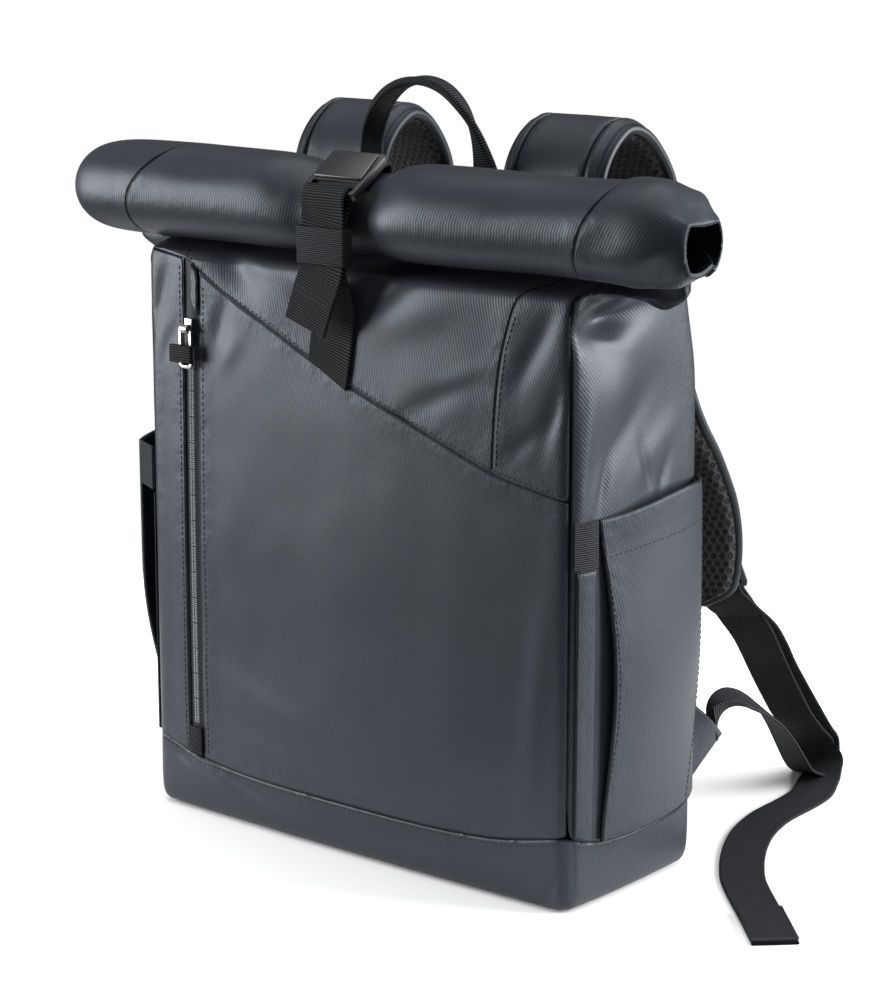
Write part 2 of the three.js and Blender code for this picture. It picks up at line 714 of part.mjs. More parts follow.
// The roll's outer surface along its length and round its turns, sunk by a depth
function rollPoint(x, turn, depth) {
  const angle = rollStartAngle + 2 * Math.PI * turn;
  const reach = x < 0 ? halfWidth + rollLeftOverhang : halfWidth + rollRightOverhang;
  const read = (column) => tableValue(rollRows, "along", column, x / reach);
  const tuck = turn < 1 ? smoothstep(turn, 0.66, 1) : turn;
  const flat = strapDentReach - closureWidth / 2;
  const nearStrap = 1 - smoothstep(Math.abs(x - closureOffset), closureWidth / 2 + 7, closureWidth / 2 + 7 + flat);
  const underBuckle = 0.55 + 0.45 * Math.cos(angle - Math.PI / 2 - buckleTilt);
  const radius = rollRadius * read("radius") - strapDent * nearStrap * underBuckle * smoothstep(turn, 0, 0.1);
  const sunk = radius - rollPitch * tuck - depth;
  const skew = rollSeamSkew * Math.sin(angle) * skewShare(x);
  return new THREE.Vector3(
    x + skew,
    -rollForward + sunk * read("depth") * Math.cos(angle),
    rollHeight + rollRadius * read("lift") * smoothstep(turn, 0, 0.15) + sunk * read("height") * Math.sin(angle),
  );
}

// How much of the roll seams' slant a place along the roll takes
function skewShare(x) {
  const far = Math.abs(x);
  const end = halfWidth + (x < 0 ? rollLeftOverhang : rollRightOverhang);
  return far < rollSeam ? smoothstep(far, 0.6 * rollSeam, rollSeam) : 1 - smoothstep(far, rollSeam, end);
}

// A length of the roll as one rolled sheet
function rollSheet(places) {
  const turnSteps = Math.round(rollTurns * rollStepsPerTurn);
  const grid = (depth) =>
    places.map((x) =>
      Array.from({ length: turnSteps + 1 }, (_, j) => rollPoint(x, (rollTurns * j) / turnSteps, depth)),
    );
  return sheetFrom(grid(0), grid(rollThickness));
}

function rollTop() {
  const end = rollSeam - halfGap;
  const dent = [closureWidth / 2 + 7, strapDentReach, strapDentReach + 12];
  const places = [...dent.map((d) => closureOffset - d), ...dent.map((d) => closureOffset + d)];
  const outer = [end, 0.84 * end, 0.68 * end, 0.5 * end];
  return rollSheet([...places, ...outer, ...outer.map((x) => -x)].sort((a, b) => a - b));
}

function rollEnd(sign) {
  const start = rollSeam + halfGap;
  const end = halfWidth + (sign > 0 ? rollRightOverhang : rollLeftOverhang);
  const places = [0, 0.36, 0.68, 0.9, 1].map((share) => sign * lerp(start, end, share));
  return rollSheet(places);
}

// The zip's tape with its coil standing up along the middle
function zipTape() {
  const middle = (zipLeft + zipRight) / 2;
  const coilHalf = 2 / bodyWidth;
  const low = zipLeft + sideGap.wide;
  const high = zipRight - sideGap.wide;
  const girths = [low, middle - 2 * coilHalf, middle - coilHalf, middle + coilHalf, middle + 2 * coilHalf, high];
  const raised = [0, 0, zipCoilHeight, zipCoilHeight, 0, 0];
  const steps = 7;
  const grid = (depth, lift) =>
    girths.map((girth, k) =>
      Array.from({ length: steps + 1 }, (_, i) => {
        const top = Math.min(underDiagonal(girth) - seamGap, foldHeight - 6);
        const height = lerp(aboveBase(girth) + seamGap, top, i / steps);
        return skinPoint(girth, height, depth - lift * raised[k]);
      }),
    );
  return sheetFrom(grid(zipDepth, 1), grid(zipDepth + zipTapeThickness, 0));
}

// The cloth that covers the zip's upper end above its slider
function zipGarage() {
  const top = zipRight - sideGap.wide;
  const rows = [0, 0.5, 1].map((t) => {
    const girth = lerp((zipLeft + zipRight) / 2, top, t);
    const low = lerp(garageFoot + garageLength / 4, garageFoot, t);
    return [0, 0.5, 1].map((u) => [girth, lerp(low, underDiagonal(girth) - seamGap, u)]);
  });
  const grid = (depth) => rows.map((row) => row.map(([girth, height]) => skinPoint(girth, height, depth)));
  const outside = zipDepth - zipCoilHeight - touchGap - 1;
  return sheetFrom(grid(outside), grid(outside + 1));
}

// Where the slider stands under the garage, and where its bridge carries the pull
const garageFoot = underDiagonal(zipRight) - garageLength;
const sliderHeight = garageFoot - garageClearance - sliderLength / 2;
const sliderSurface = frontSurface(zipOffset, sliderHeight).y + zipDepth - zipCoilHeight;
const bridgeRadius = 2.6;
const bridgeHole = 1.4;
const pivotY = sliderSurface - touchGap - sliderThickness - bridgeRadius + 0.6;
const pivotZ = sliderHeight + 2;

// The slider: a plate on the coil with a round bridge, drilled across for the pull's wire
function zipSlider() {
  const back = sliderSurface - touchGap;
  const front = back - sliderThickness;
  return extrudeAcross(sliderProfile(back, front, sliderLength / 2), sliderWidth);
}

// The slider's outline seen from the side, in Y and Z
function sliderProfile(back, front, half) {
  const shape = new THREE.Shape();
  shape.moveTo(back, sliderHeight - half);
  shape.lineTo(back, sliderHeight + half);
  shape.lineTo(front, sliderHeight + half);
  const opening = Math.acos(clamp((front - pivotY) / bridgeRadius, -1, 1));
  for (let i = 0; i <= 10; i += 1) {
    const angle = lerp(opening, 2 * Math.PI - opening, i / 10);
    shape.lineTo(pivotY + bridgeRadius * Math.cos(angle), pivotZ + bridgeRadius * Math.sin(angle));
  }
  shape.lineTo(front, sliderHeight - half);
  const hole = new THREE.Path();
  hole.absarc(pivotY, pivotZ, bridgeHole, 0, 2 * Math.PI, true);
  shape.holes.push(hole);
  return shape;
}

// A shape drawn in Y and Z, extruded across X with its middle at the zip
function extrudeAcross(shape, width) {
  const geometry = new THREE.ExtrudeGeometry(shape, { depth: width, bevelEnabled: false, curveSegments: 6 });
  const turn = new THREE.Matrix4().makeBasis(
    new THREE.Vector3(0, 1, 0),
    new THREE.Vector3(0, 0, 1),
    new THREE.Vector3(1, 0, 0),
  );
  geometry.applyMatrix4(turn);
  geometry.translate(zipOffset - width / 2, 0, 0);
  return geometry;
}

// A rectangle with round corners, as a shape or as a hole
function roundedRectangle(path, width, height, radius, centreX = 0, centreY = 0) {
  const [a, b] = [width / 2 - radius, height / 2 - radius];
  path.moveTo(centreX + a, centreY - b - radius);
  path.absarc(centreX + a, centreY - b, radius, -Math.PI / 2, 0, false);
  path.absarc(centreX + a, centreY + b, radius, 0, Math.PI / 2, false);
  path.absarc(centreX - a, centreY + b, radius, Math.PI / 2, Math.PI, false);
  path.absarc(centreX - a, centreY - b, radius, Math.PI, 1.5 * Math.PI, false);
  path.closePath();
  return path;
}

// The wire loop that hangs from the slider's bridge
function zipPull() {
  const shape = roundedRectangle(new THREE.Shape(), pullWidth, pullLength, 2.6);
  const inner = roundedRectangle(new THREE.Path(), pullWidth - 2 * pullWire, pullLength - 2 * pullWire, 1.2);
  shape.holes.push(inner);
  const geometry = new THREE.ExtrudeGeometry(shape, { depth: pullWire, bevelEnabled: false, curveSegments: 3 });
  geometry.rotateX(Math.PI / 2);
  geometry.translate(zipOffset, pivotY + pullWire / 2, pivotZ - pullLength / 2 + pullWire / 2);
  return geometry;
}

// The webbing tab folded round the loop's lower end
function zipPullTab() {
  const geometry = new THREE.BoxGeometry(pullTabLength, pullTabThickness, pullTabHeight);
  const reach = pullTabLength / 2 - pullWidth / 2 - 2;
  const front = pivotY - pullWire / 2 - touchGap - pullTabThickness / 2;
  geometry.translate(zipOffset - reach, front, pivotZ - pullLength + pullTabHeight / 2 + 4);
  return geometry;
}

// The webbing tab that ends the zip at the base seam
function zipEndTab() {
  const foot = baseSeam(frontAcross(zipOffset)) + seamGap + touchGap;
  const thickness = zipDepth - zipCoilHeight + 1.2;
  const width = zipSlotWidth - 2 * seamGap - 2;
  const places = [foot, foot + endTabLength / 2, foot + endTabLength].map((height) => {
    const point = frontSurface(zipOffset, height);
    return point.setY(point.y + zipDepth - zipCoilHeight - touchGap - thickness / 2);
  });
  const angles = places.map(() => ({ facing: 0 }));
  return strip(stationsAlong(places, angles, 1), () => flatSection(width, thickness));
}

// How far a side pocket stands off the side panel, as shares of its stand-off, from its open front
// edge to its seam at the back
const pocketRows = [
  { open: 0, lift: 0.5 },
  { open: 0.2, lift: 0.85 },
  { open: 0.5, lift: 1 },
  { open: 0.8, lift: 0.95 },
  { open: 0.93, lift: 0.6 },
  { open: 1, lift: 0 },
];

// How far back the pocket's open edge lies, as shares of the side, from its foot to its top
const pocketEdgeRows = [
  { up: 0, right: 0.2, left: 0.16 },
  { up: 0.45, right: 0.23, left: 0.14 },
  { up: 0.75, right: 0.21, left: 0.13 },
  { up: 1, right: 0.155, left: 0.12 },
];

const sideWord = (side) => (side === RIGHT ? "right" : "left");

function pocketLift(side, open, up) {
  const front = 1 - open;
  const tied = side === RIGHT ? 1 - 0.95 * front ** 2 * smoothstep(up, 0.5, 0.95) : 1 + 0.7 * front ** 2;
  const full = 0.12 + 0.88 * smoothstep(up, 0, 0.5);
  return touchGap + pocketStandOff[sideWord(side)] * tableValue(pocketRows, "open", "lift", open) * tied * full;
}

// A girth on a side counted from its front edge
function sideGirth(side, fromFront) {
  return side === RIGHT ? RIGHT + fromFront : LEFT + 1 - fromFront;
}

// A height on a pocket, from its foot over the base seam to its top
function pocketHeight(fromFront, up) {
  const foot = baseSeam(sideGirth(RIGHT, fromFront)) + halfGap + 1;
  const top = lerp(pocketTopFront, pocketTopBack, smoothstep(fromFront, 0.2, 0.8));
  return lerp(foot, top, up);
}

// A patch of cloth lying on a side, between two layers given as lifts off its outer surface
function sidePatch(side, across, rises, heightAt, liftAt, thickness) {
  const grid = (extra) =>
    across.map((share) =>
      rises.map((up) => {
        const fromFront = typeof share === "function" ? share(up) : share;
        return skinPoint(sideGirth(side, fromFront), heightAt(fromFront, up), -liftAt(share, up) - extra);
      }),
    );
  return sheetFrom(grid(thickness), grid(0));
}

// The pocket's own panel, sewn along its back edge and its foot and open along its front
function sidePocket(side) {
  const opens = [0, 0.12, 0.3, 0.5, 0.7, 0.84, 0.94, 1];
  const rises = [0, 0.1, 0.22, 0.36, 0.5, 0.64, 0.78, 0.9, 1];
  const places = opens.map((open) => {
    const place = (up) => lerp(tableValue(pocketEdgeRows, "up", sideWord(side), up), 0.975, open);
    place.open = open;
    return place;
  });
  const lift = (place, up) => pocketLift(side, place.open, up);
  return sidePatch(side, places, rises, pocketHeight, lift, pocketHemThickness);
}

// The pleat of cloth that lets the pocket's front edge open
function pocketPleat(side) {
  const rises = [0, 0.14, 0.32, 0.5, 0.68, 0.84, 1];
  const height = (fromFront, up) => lerp(pocketHeight(fromFront, 0), pleatHeight - touchGap, up);
  const places = side === RIGHT ? [0.03, 0.07, 0.105, 0.14] : [0.03, 0.06, 0.085, 0.105];
  return sidePatch(side, places, rises, height, () => touchGap + 0.2, 1.2);
}

// The elastic that ties the pocket's upper front corner to the front seam
function pocketElastic(side) {
  const edge = tableValue(pocketEdgeRows, "up", sideWord(side), 1);
  const places = [0.02, lerp(0.02, edge, 0.5), edge - 0.008];
  const lift = (fromFront) => {
    const share = (fromFront - 0.02) / (edge - 0.02);
    return touchGap + 0.2 + (pocketLift(side, 0, 1) - touchGap) * share ** 1.2;
  };
  const height = (fromFront, up) => pocketHeight(fromFront, 1) - elasticWidth * (1 - up);
  return sidePatch(side, places, [0, 0.5, 1], height, lift, elasticThickness);
}

// The buckle's own frame: its middle, the way up it and the way out of it
const buckleUp = new THREE.Vector3(0, Math.cos(buckleTilt), Math.sin(buckleTilt));
const buckleOut = new THREE.Vector3(0, -Math.sin(buckleTilt), Math.cos(buckleTilt));
const buckleDistance = rollRadius - strapDent + webbingThickness + 3 * touchGap + buckleThickness / 2;
const buckleMiddle = new THREE.Vector3(closureOffset + 2, -rollForward, rollHeight)
  .addScaledVector(buckleOut, buckleDistance)
  .addScaledVector(buckleUp, -1);
const crossBarWidth = 3;
const lowerSlot = 7;
const upperSlot = 5.6;
const buckleFoot = -buckleLength / 2;
const crossBarMiddle = buckleFoot + buckleRail + lowerSlot + crossBarWidth / 2;

// A place near the buckle: up it from its middle and out of its middle plane
function onBuckle(up, out) {
  return buckleMiddle.clone().addScaledVector(buckleUp, up).addScaledVector(buckleOut, out);
}

// The buckle: two rails, a foot bar, a cross bar and a covering plate, with two slots
function buckleFrame() {
  const slotWidth = closureWidth + 1.4;
  const width = slotWidth + 2 * buckleRail;
  const shape = roundedRectangle(new THREE.Shape(), width, buckleLength, 2.5);
  const lower = new THREE.Path();
  const upper = new THREE.Path();
  roundedRectangle(lower, slotWidth, lowerSlot, 0.8, 0, buckleFoot + buckleRail + lowerSlot / 2);
  roundedRectangle(upper, slotWidth, upperSlot, 0.8, 0, crossBarMiddle + crossBarWidth / 2 + upperSlot / 2);
  shape.holes.push(lower, upper);
  const geometry = new THREE.ExtrudeGeometry(shape, {
    depth: buckleThickness,
    bevelEnabled: false,
    curveSegments: 2,
  });
  geometry.translate(0, 0, -buckleThickness / 2);
  const turn = new THREE.Matrix4().makeBasis(new THREE.Vector3(1, 0, 0), buckleUp, buckleOut);
  geometry.applyMatrix4(turn.setPosition(buckleMiddle));
  return geometry;
}

// Where the closure's two layers hang in front of the roll
const closureFront = -rollForward - rollRadius - 0.5;
const closureLayer = webbingThickness + touchGap + 0.25;

// The lower closure webbing: sewn on at the diagonal seam, up in front of the roll, through the
// buckle, round its cross bar and hanging down again as the free end
function closureWebbingLower() {
  const half = webbingThickness / 2;
  const clear = buckleThickness / 2 + half + touchGap;
  const footAcross = frontAcross(closureOffset + closureFootDrift);
  const foot = diagonalSeam(footAcross) - 0.5;
  const onFront = (height, extra, drift) => {
    const point = frontSurface(closureOffset + drift * closureFootDrift, height);
    return point.setY(point.y - half - touchGap - extra);
  };
  const at = (z, layer, drift = 0) =>
    new THREE.Vector3(closureOffset + drift, closureFront - layer * closureLayer, z);
  const tailTop = rollHeight + 1;
  const places = [
    onFront(foot, 0.5, 1),
    onFront(lerp(foot, foldHeight, 0.35), 0.8, 0.66),
    onFront(lerp(foot, foldHeight, 0.7), 1.2, 0.33),
    at(foldHeight + 3, 0, 0.5),
    at(rollHeight - 16, 0, 0.8),
    at(rollHeight - 2, 0, 1.1),
    onBuckle(buckleFoot - 2, -clear - 1.6),
    onBuckle(buckleFoot + 0.3, -clear),
    onBuckle(buckleFoot + buckleRail + 0.8, -clear),
    onBuckle(buckleFoot + buckleRail + lowerSlot / 2, 0),
    onBuckle(buckleFoot + buckleRail + 0.8, clear),
    onBuckle(buckleFoot + 0.3, clear),
    onBuckle(buckleFoot - 3, clear - 1.4),
    at(tailTop - 1, 1.3, 2),
    at(tailTop - 8, 1, 1),
    at(tailTop - 0.3 * closureTailLength, 1, 0.8),
    at(tailTop - 0.45 * closureTailLength, 1, 0.6),
    at(tailTop - 0.72 * closureTailLength, 1.2, 0.5 * closureTailDrift),
    at(tailTop - closureTailLength, 1.6, closureTailDrift),
  ];
  const angles = places.map(() => ({ facing: 0 }));
  const slope = (diagonalSeam(footAcross + 0.03) - diagonalSeam(footAcross - 0.03)) / (0.06 * bodyWidth);
  const slant = (t) => slope * (1 - smoothstep(t, 0, 0.08));
  return strip(stationsAlong(places, angles), () => flatSection(closureWidth, webbingThickness), slant);
}

// The elastic band round the closure webbing and its free end
function strapKeeper() {
  const inside = closureLayer + webbingThickness + 2 * touchGap + 0.5;
  const width = closureWidth + 2;
  const shape = roundedRectangle(new THREE.Shape(), width + 2 * keeperThickness, inside + 2 * keeperThickness, 1.4);
  shape.holes.push(roundedRectangle(new THREE.Path(), width, inside, 0.5));
  const geometry = new THREE.ExtrudeGeometry(shape, { depth: keeperHeight, bevelEnabled: false, curveSegments: 2 });
  geometry.translate(closureOffset + 0.8, closureFront - closureLayer / 2, rollHeight - keeperHeight - 6.5);
  return geometry;
}

// The upper closure webbing: from behind the roll, over it and in under the buckle
function closureWebbingUpper() {
  const off = webbingThickness / 2 + touchGap + 0.5;
  const girth = BACK + 0.5 - closureOffset / bodyWidth;
  const onBack = (row) => skinPoint(girth, foldHeight + closingRows[row].step * closingRun, -off);
  const turnSteps = Math.round(rollTurns * rollStepsPerTurn);
  const onRoll = (step) => rollPoint(closureOffset, (rollTurns * step) / turnSteps, -off);
  const under = -buckleThickness / 2 - webbingThickness / 2 - touchGap;
  const places = [
    onBack(2),
    onBack(3).lerp(onBack(4), 0.15),
    onBack(4).add(new THREE.Vector3(0, 3, 3)),
    ...[1, 2, 3, 4].map(onRoll),
    onBuckle(buckleLength / 2 + 1, under - 1.7),
    onBuckle(buckleLength / 2 - 4, under - 0.3),
    onBuckle(crossBarMiddle + crossBarWidth / 2 + upperSlot + 1.2, under),
  ];
  return strip(stationsThrough(places), () => flatSection(closureWidth, webbingThickness));
}

// A place on the cloth behind the roll, at an offset from its middle, lifted off by a distance
function onSlope(offset, height, lift) {
  return skinPoint(BACK + 0.5 - offset / bodyWidth, height, -lift);
}

// The grab handle: both feet sewn to the cloth behind the roll, twisted into an arch
function grabHandle() {
  const foot = onSlope(handleOffset, handleRoot, touchGap + 0.5);
  const row = (entry, sign) => {
    const forward = 10 * smoothstep(entry.up, 0, 0.4) + 7 * smoothstep(entry.up, 0.2, 1);
    const x = handleOffset + (sign * entry.side * handleSpan) / 2;
    return new THREE.Vector3(x, foot.y - forward, foot.z + entry.up * handleRise);
  };
  const falling = handleRows.slice(0, -1).reverse();
  const places = [...handleRows.map((entry) => row(entry, -1)), ...falling.map((entry) => row(entry, 1))];
  const angles = [
    ...handleRows.map((entry) => ({ facing: entry.twist })),
    ...falling.map((entry) => ({ facing: 180 - entry.twist })),
  ];
  return strip(stationsAlong(places, angles), () => flatSection(handleWidth, webbingThickness));
}

// A shoulder strap's middle line for one side
function padStations(sign) {
  const places = padRows.map(
    (row) => new THREE.Vector3((sign * row.side * strapSpacing) / 2, row.back * bodyDepth, row.up * rollHeight),
  );
  const angles = padRows.map((row) => ({ facing: sign * row.facing }));
  return stationsAlong(places, angles);
}

// A shoulder strap's padded body, round at its lower end
function shoulderStrap(sign) {
  const endReach = 0.08;
  const widthAt = (t) => {
    const at = t * (padRows.length - 1);
    const k = Math.min(Math.floor(at), padRows.length - 2);
    const narrow = lerp(padRows[k].narrow, padRows[k + 1].narrow, at - k);
    const full = lerp(padWidth, padEndWidth, narrow);
    const gone = clamp((t - (1 - endReach)) / endReach, 0, 1);
    return full * (0.4 + 0.6 * Math.sqrt(1 - gone ** 2));
  };
  return strip(padStations(sign), (t) => padSection(widthAt(t), padThickness));
}

// The glide on the outer face of a shoulder strap's end: its own frame
const glideSlot = 4.6;
const glideBar = 3.2;
const glideHeight = 2 * glideSlot + 3 * glideBar;
const glideLayer = glideThickness / 2 + webbingThickness / 2 + touchGap;

function glideFrame(sign) {
  const end = padStations(sign).at(-1);
  const flat = end.across.clone().setZ(0).normalize();
  const away = new THREE.Vector3(-flat.y, flat.x, 0);
  const up = new THREE.Vector3(0, 0, 1)
    .addScaledVector(flat, -sign * glideAslant)
    .addScaledVector(away, -glideTilt)
    .normalize();
  const across = flat.clone().addScaledVector(up, -flat.dot(up)).normalize();
  const out = up.clone().cross(across).negate();
  const middle = end.centre
    .clone()
    .addScaledVector(flat, sign * glideAside)
    .addScaledVector(away, padThickness / 2 + webbingThickness + glideThickness + glideClear)
    .add(new THREE.Vector3(0, 0, glideRise));
  const place = (rise, lift) => middle.clone().addScaledVector(up, rise).addScaledVector(out, lift);
  const facing = sign * THREE.MathUtils.radToDeg(Math.atan2(across.y, across.x));
  const lean = sign * THREE.MathUtils.radToDeg(Math.asin(across.z));
  return { across, up, middle, place, facing, lean };
}

// The glide: a frame with two slots for the webbing
function triGlide(sign) {
  const width = strapWebbingWidth + 2 * glideWall + 1.4;
  const shape = roundedRectangle(new THREE.Shape(), width, glideHeight, 2);
  for (const end of [-1, 1]) {
    const slot = new THREE.Path();
    roundedRectangle(slot, strapWebbingWidth + 1.4, glideSlot, 0.8, 0, (end * (glideSlot + glideBar)) / 2);
    shape.holes.push(slot);
  }
  const geometry = new THREE.ExtrudeGeometry(shape, { depth: glideThickness, bevelEnabled: false, curveSegments: 2 });
  geometry.translate(0, 0, -glideThickness / 2);
  const { across, up, middle } = glideFrame(sign);
  const turn = new THREE.Matrix4().makeBasis(across, up, across.clone().cross(up));
  geometry.applyMatrix4(turn.setPosition(middle));
  return geometry;
}

// Places on a route given in shares, for one side, standing on the floor where it is lowest
function routePlaces(rows, sign) {
  const floor = webbingThickness / 2 + 0.1;
  return rows.map(
    (row) => new THREE.Vector3(sign * row.side * halfWidth, row.back * bodyDepth, floor + row.up * rollHeight),
  );
}

// The strap's webbing for one side: from the anchor down to the floor, up to the glide, through its
// upper slot and down again as the loose tail
function strapStations(sign) {
  const { place, facing, lean } = glideFrame(sign);
  const loose = sign > 0 ? tailRows : hiddenTailRows;
  const threaded = [
    place(-glideHeight / 2 - 2, -glideLayer + 0.2),
    place(-glideBar, -glideLayer - 0.1),
    place(glideBar / 2 + 0.8, -glideLayer),
    place(glideBar / 2 + glideSlot / 2 + 0.2, 0),
    place(glideBar / 2 + 0.8, glideLayer),
    place(-glideBar, glideLayer + 0.1),
    place(-glideHeight / 2 - 2, glideLayer + 0.2),
  ];
  const places = [...routePlaces(webbingRows, sign), ...threaded, ...routePlaces(loose, sign)];
  const turned = threaded.map(() => ({ facing, lean }));
  const angles = [...webbingRows, ...turned, ...loose].map((row) => ({
    facing: sign * row.facing,
    lean: sign * row.lean,
  }));
  return stationsAlong(places, angles);
}

function strapWebbing(sign) {
  return strip(strapStations(sign), () => flatSection(strapWebbingWidth, webbingThickness));
}

// The tail's folded end, lying on the tail
function strapTailHem(sign) {
  const end = strapStations(sign).at(-1);
  const up = new THREE.Vector3(0, 0, webbingThickness + touchGap);
  const places = [0.02, 0.5, 1].map((t) => end.centre.clone().addScaledVector(end.tangent, -hemLength * t).add(up));
  return strip(stationsThrough(places, end.across), () => flatSection(strapWebbingWidth, webbingThickness));
}

// The triangular tab that anchors the webbing in the body's lower back corner
function anchorTab(sign) {
  const start = strapStations(sign)[0];
  const half = anchorThickness / 2;
  const across = 0.5 - sign * (0.5 - anchorAcross);
  const root = (height) => skinPoint(BACK + across, height, -touchGap);
  const tip = start.centre.clone().addScaledVector(start.tangent, -touchGap);
  const wide = start.across.clone().multiplyScalar(strapWebbingWidth / 2);
  if (wide.z < 0) wide.negate();
  const corners = [
    root(baseHeight - anchorDrop),
    tip.clone().sub(wide),
    tip.clone().add(wide),
    root(baseHeight + anchorRise),
  ];
  const ring = (shift) => corners.map((corner) => corner.clone().add(new THREE.Vector3(shift, 0, 0)));
  return loft([ring(-half), ring(half)]);
}

// Colours and surfaces
const finishes = {
  cloth: { color: 0x4a4d55, roughness: 0.55, metalness: 0 },
  lining: { color: 0x1c1d20, roughness: 0.9, metalness: 0 },
  webbing: { color: 0x17181a, roughness: 0.85, metalness: 0 },
  elastic: { color: 0x222327, roughness: 0.8, metalness: 0 },
  plastic: { color: 0x101113, roughness: 0.5, metalness: 0 },
  zip: { color: 0x2c2e33, roughness: 0.7, metalness: 0 },
  steel: { color: 0xb9bcc0, roughness: 0.3, metalness: 1 },
};

const backpack = new THREE.Group();

function add(name, geometry, finish) {
  const mesh = new THREE.Mesh(geometry, new THREE.MeshStandardMaterial(finishes[finish]));
  mesh.name = name;
  backpack.add(mesh);
}

add("base_panel", basePanel(), "cloth");
add("front_panel_left", frontPanelLeft(), "cloth");
add("front_panel_main", frontPanelMain(), "cloth");
add("front_upper_panel", frontUpperPanel(), "cloth");
add("front_upper_side_panel", frontUpperSidePanel(), "cloth");
add("back_panel", backPanel(), "cloth");
add("back_extension", backExtension(), "cloth");
add("roll_top", rollTop(), "cloth");
add("zip_tape", zipTape(), "zip");
add("zip_garage", zipGarage(), "cloth");
add("zip_slider", zipSlider(), "steel");
add("zip_pull", zipPull(), "steel");
add("zip_pull_tab", zipPullTab(), "webbing");
add("zip_end_tab", zipEndTab(), "webbing");
add("buckle_frame", buckleFrame(), "plastic");
add("closure_webbing_lower", closureWebbingLower(), "webbing");
add("closure_webbing_upper", closureWebbingUpper(), "webbing");
add("strap_keeper", strapKeeper(), "elastic");
add("grab_handle", grabHandle(), "webbing");

for (const [word, side, sign] of [["right", RIGHT, 1], ["left", LEFT, -1]]) {
  add(`side_panel_${word}`, sidePanel(side), "cloth");
  add(`side_pocket_${word}`, sidePocket(side), "cloth");
  add(`pocket_pleat_${word}`, pocketPleat(side), "cloth");
  add(`pocket_elastic_${word}`, pocketElastic(side), "elastic");
  add(`roll_end_${word}`, rollEnd(sign), "cloth");
  add(`shoulder_strap_${word}`, shoulderStrap(sign), "cloth");
  add(`strap_webbing_${word}`, strapWebbing(sign), "webbing");
  add(`strap_tail_hem_${word}`, strapTailHem(sign), "webbing");
  add(`tri_glide_${word}`, triGlide(sign), "plastic");
  add(`anchor_tab_${word}`, anchorTab(sign), "cloth");
}

export default backpack;
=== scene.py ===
# %% [markdown]
# # A rolltop backpack
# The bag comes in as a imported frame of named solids. Each soft solid is then replaced by a dressed
# piece in the same place: sewn cloth panels, swept webbing, padded straps and small fittings.

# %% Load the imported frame
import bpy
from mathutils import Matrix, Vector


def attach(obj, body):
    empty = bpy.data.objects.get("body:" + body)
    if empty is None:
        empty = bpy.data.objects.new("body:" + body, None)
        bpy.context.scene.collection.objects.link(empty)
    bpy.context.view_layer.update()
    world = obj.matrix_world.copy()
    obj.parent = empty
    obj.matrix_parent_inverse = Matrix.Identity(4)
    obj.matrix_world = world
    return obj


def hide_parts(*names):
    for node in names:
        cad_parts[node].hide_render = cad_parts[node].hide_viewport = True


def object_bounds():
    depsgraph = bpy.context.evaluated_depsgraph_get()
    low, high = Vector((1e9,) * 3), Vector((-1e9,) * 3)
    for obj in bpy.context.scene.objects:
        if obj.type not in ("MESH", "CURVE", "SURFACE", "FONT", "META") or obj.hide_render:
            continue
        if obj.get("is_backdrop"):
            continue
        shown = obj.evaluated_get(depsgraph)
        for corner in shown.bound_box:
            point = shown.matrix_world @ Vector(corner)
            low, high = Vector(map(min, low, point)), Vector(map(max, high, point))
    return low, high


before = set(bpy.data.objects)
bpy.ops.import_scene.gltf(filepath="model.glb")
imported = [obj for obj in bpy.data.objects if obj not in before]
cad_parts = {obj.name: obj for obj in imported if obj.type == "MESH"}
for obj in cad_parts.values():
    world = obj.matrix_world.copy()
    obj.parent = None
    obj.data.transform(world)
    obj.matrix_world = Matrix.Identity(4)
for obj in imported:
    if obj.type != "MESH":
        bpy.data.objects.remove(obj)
cad_low, cad_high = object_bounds()
print("frame with", len(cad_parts), "nodes")

# %% [markdown]
# Blender counts in metres here and the bag's sizes are in millimetres, so lengths are written as
# millimetres times MM. Much of the bag comes in pairs, which share one loop over its two sides.

# %% Tools of the trade
import math

import bmesh
import bpy
import numpy as np
from mathutils import Vector, kdtree, noise
from mathutils.bvhtree import BVHTree

MM = 0.001
BAG = "bag"
PULL = "zip_pull"
JOIN_DISTANCE = 0.02 * MM
RIM_ANGLE = math.radians(62)
SIDES = (("right", 1), ("left", -1))
bpy.ops.object.select_all(action="DESELECT")

# %% [markdown]
# The camera comes first, because loose straps are judged by what it sees. It looks at the bag's
# front and right side from a little above, through a long lens, as the photograph does.

# %% Camera
AZIMUTH = math.radians(39.78)
ELEVATION = math.radians(12.76)
CAMERA_DISTANCE = 1.6092
LENS = 103.86
AIM_ASIDE = 0.01339
AIM_HEIGHT = 0.19333


def place_camera():
    """Makes the camera and turns it to its target."""
    level = Vector((-math.sin(AZIMUTH), math.cos(AZIMUTH), 0))
    forward = level * math.cos(ELEVATION) - Vector((0, 0, math.sin(ELEVATION)))
    aside = Vector((math.cos(AZIMUTH), math.sin(AZIMUTH), 0))
    target = aside * AIM_ASIDE + Vector((0, 0, AIM_HEIGHT))
    camera = bpy.data.objects.new("camera", bpy.data.cameras.new("camera"))
    camera.data.lens = LENS
    camera.data.sensor_width = 36
    camera.location = target - forward * CAMERA_DISTANCE
    camera.rotation_euler = forward.to_track_quat("-Z", "Y").to_euler()
    bpy.context.collection.objects.link(camera)
    bpy.context.scene.camera = camera
    return camera


print("camera at", [round(c, 3) for c in place_camera().location])

# %% [markdown]
# Materials are written as sums. A small class wraps a socket, so that an expression such as
# `ribs * 0.5 + grain` adds the Math nodes by itself. Nodes could be linked one by one, but a sum
# shows at a glance what a finish is made of.


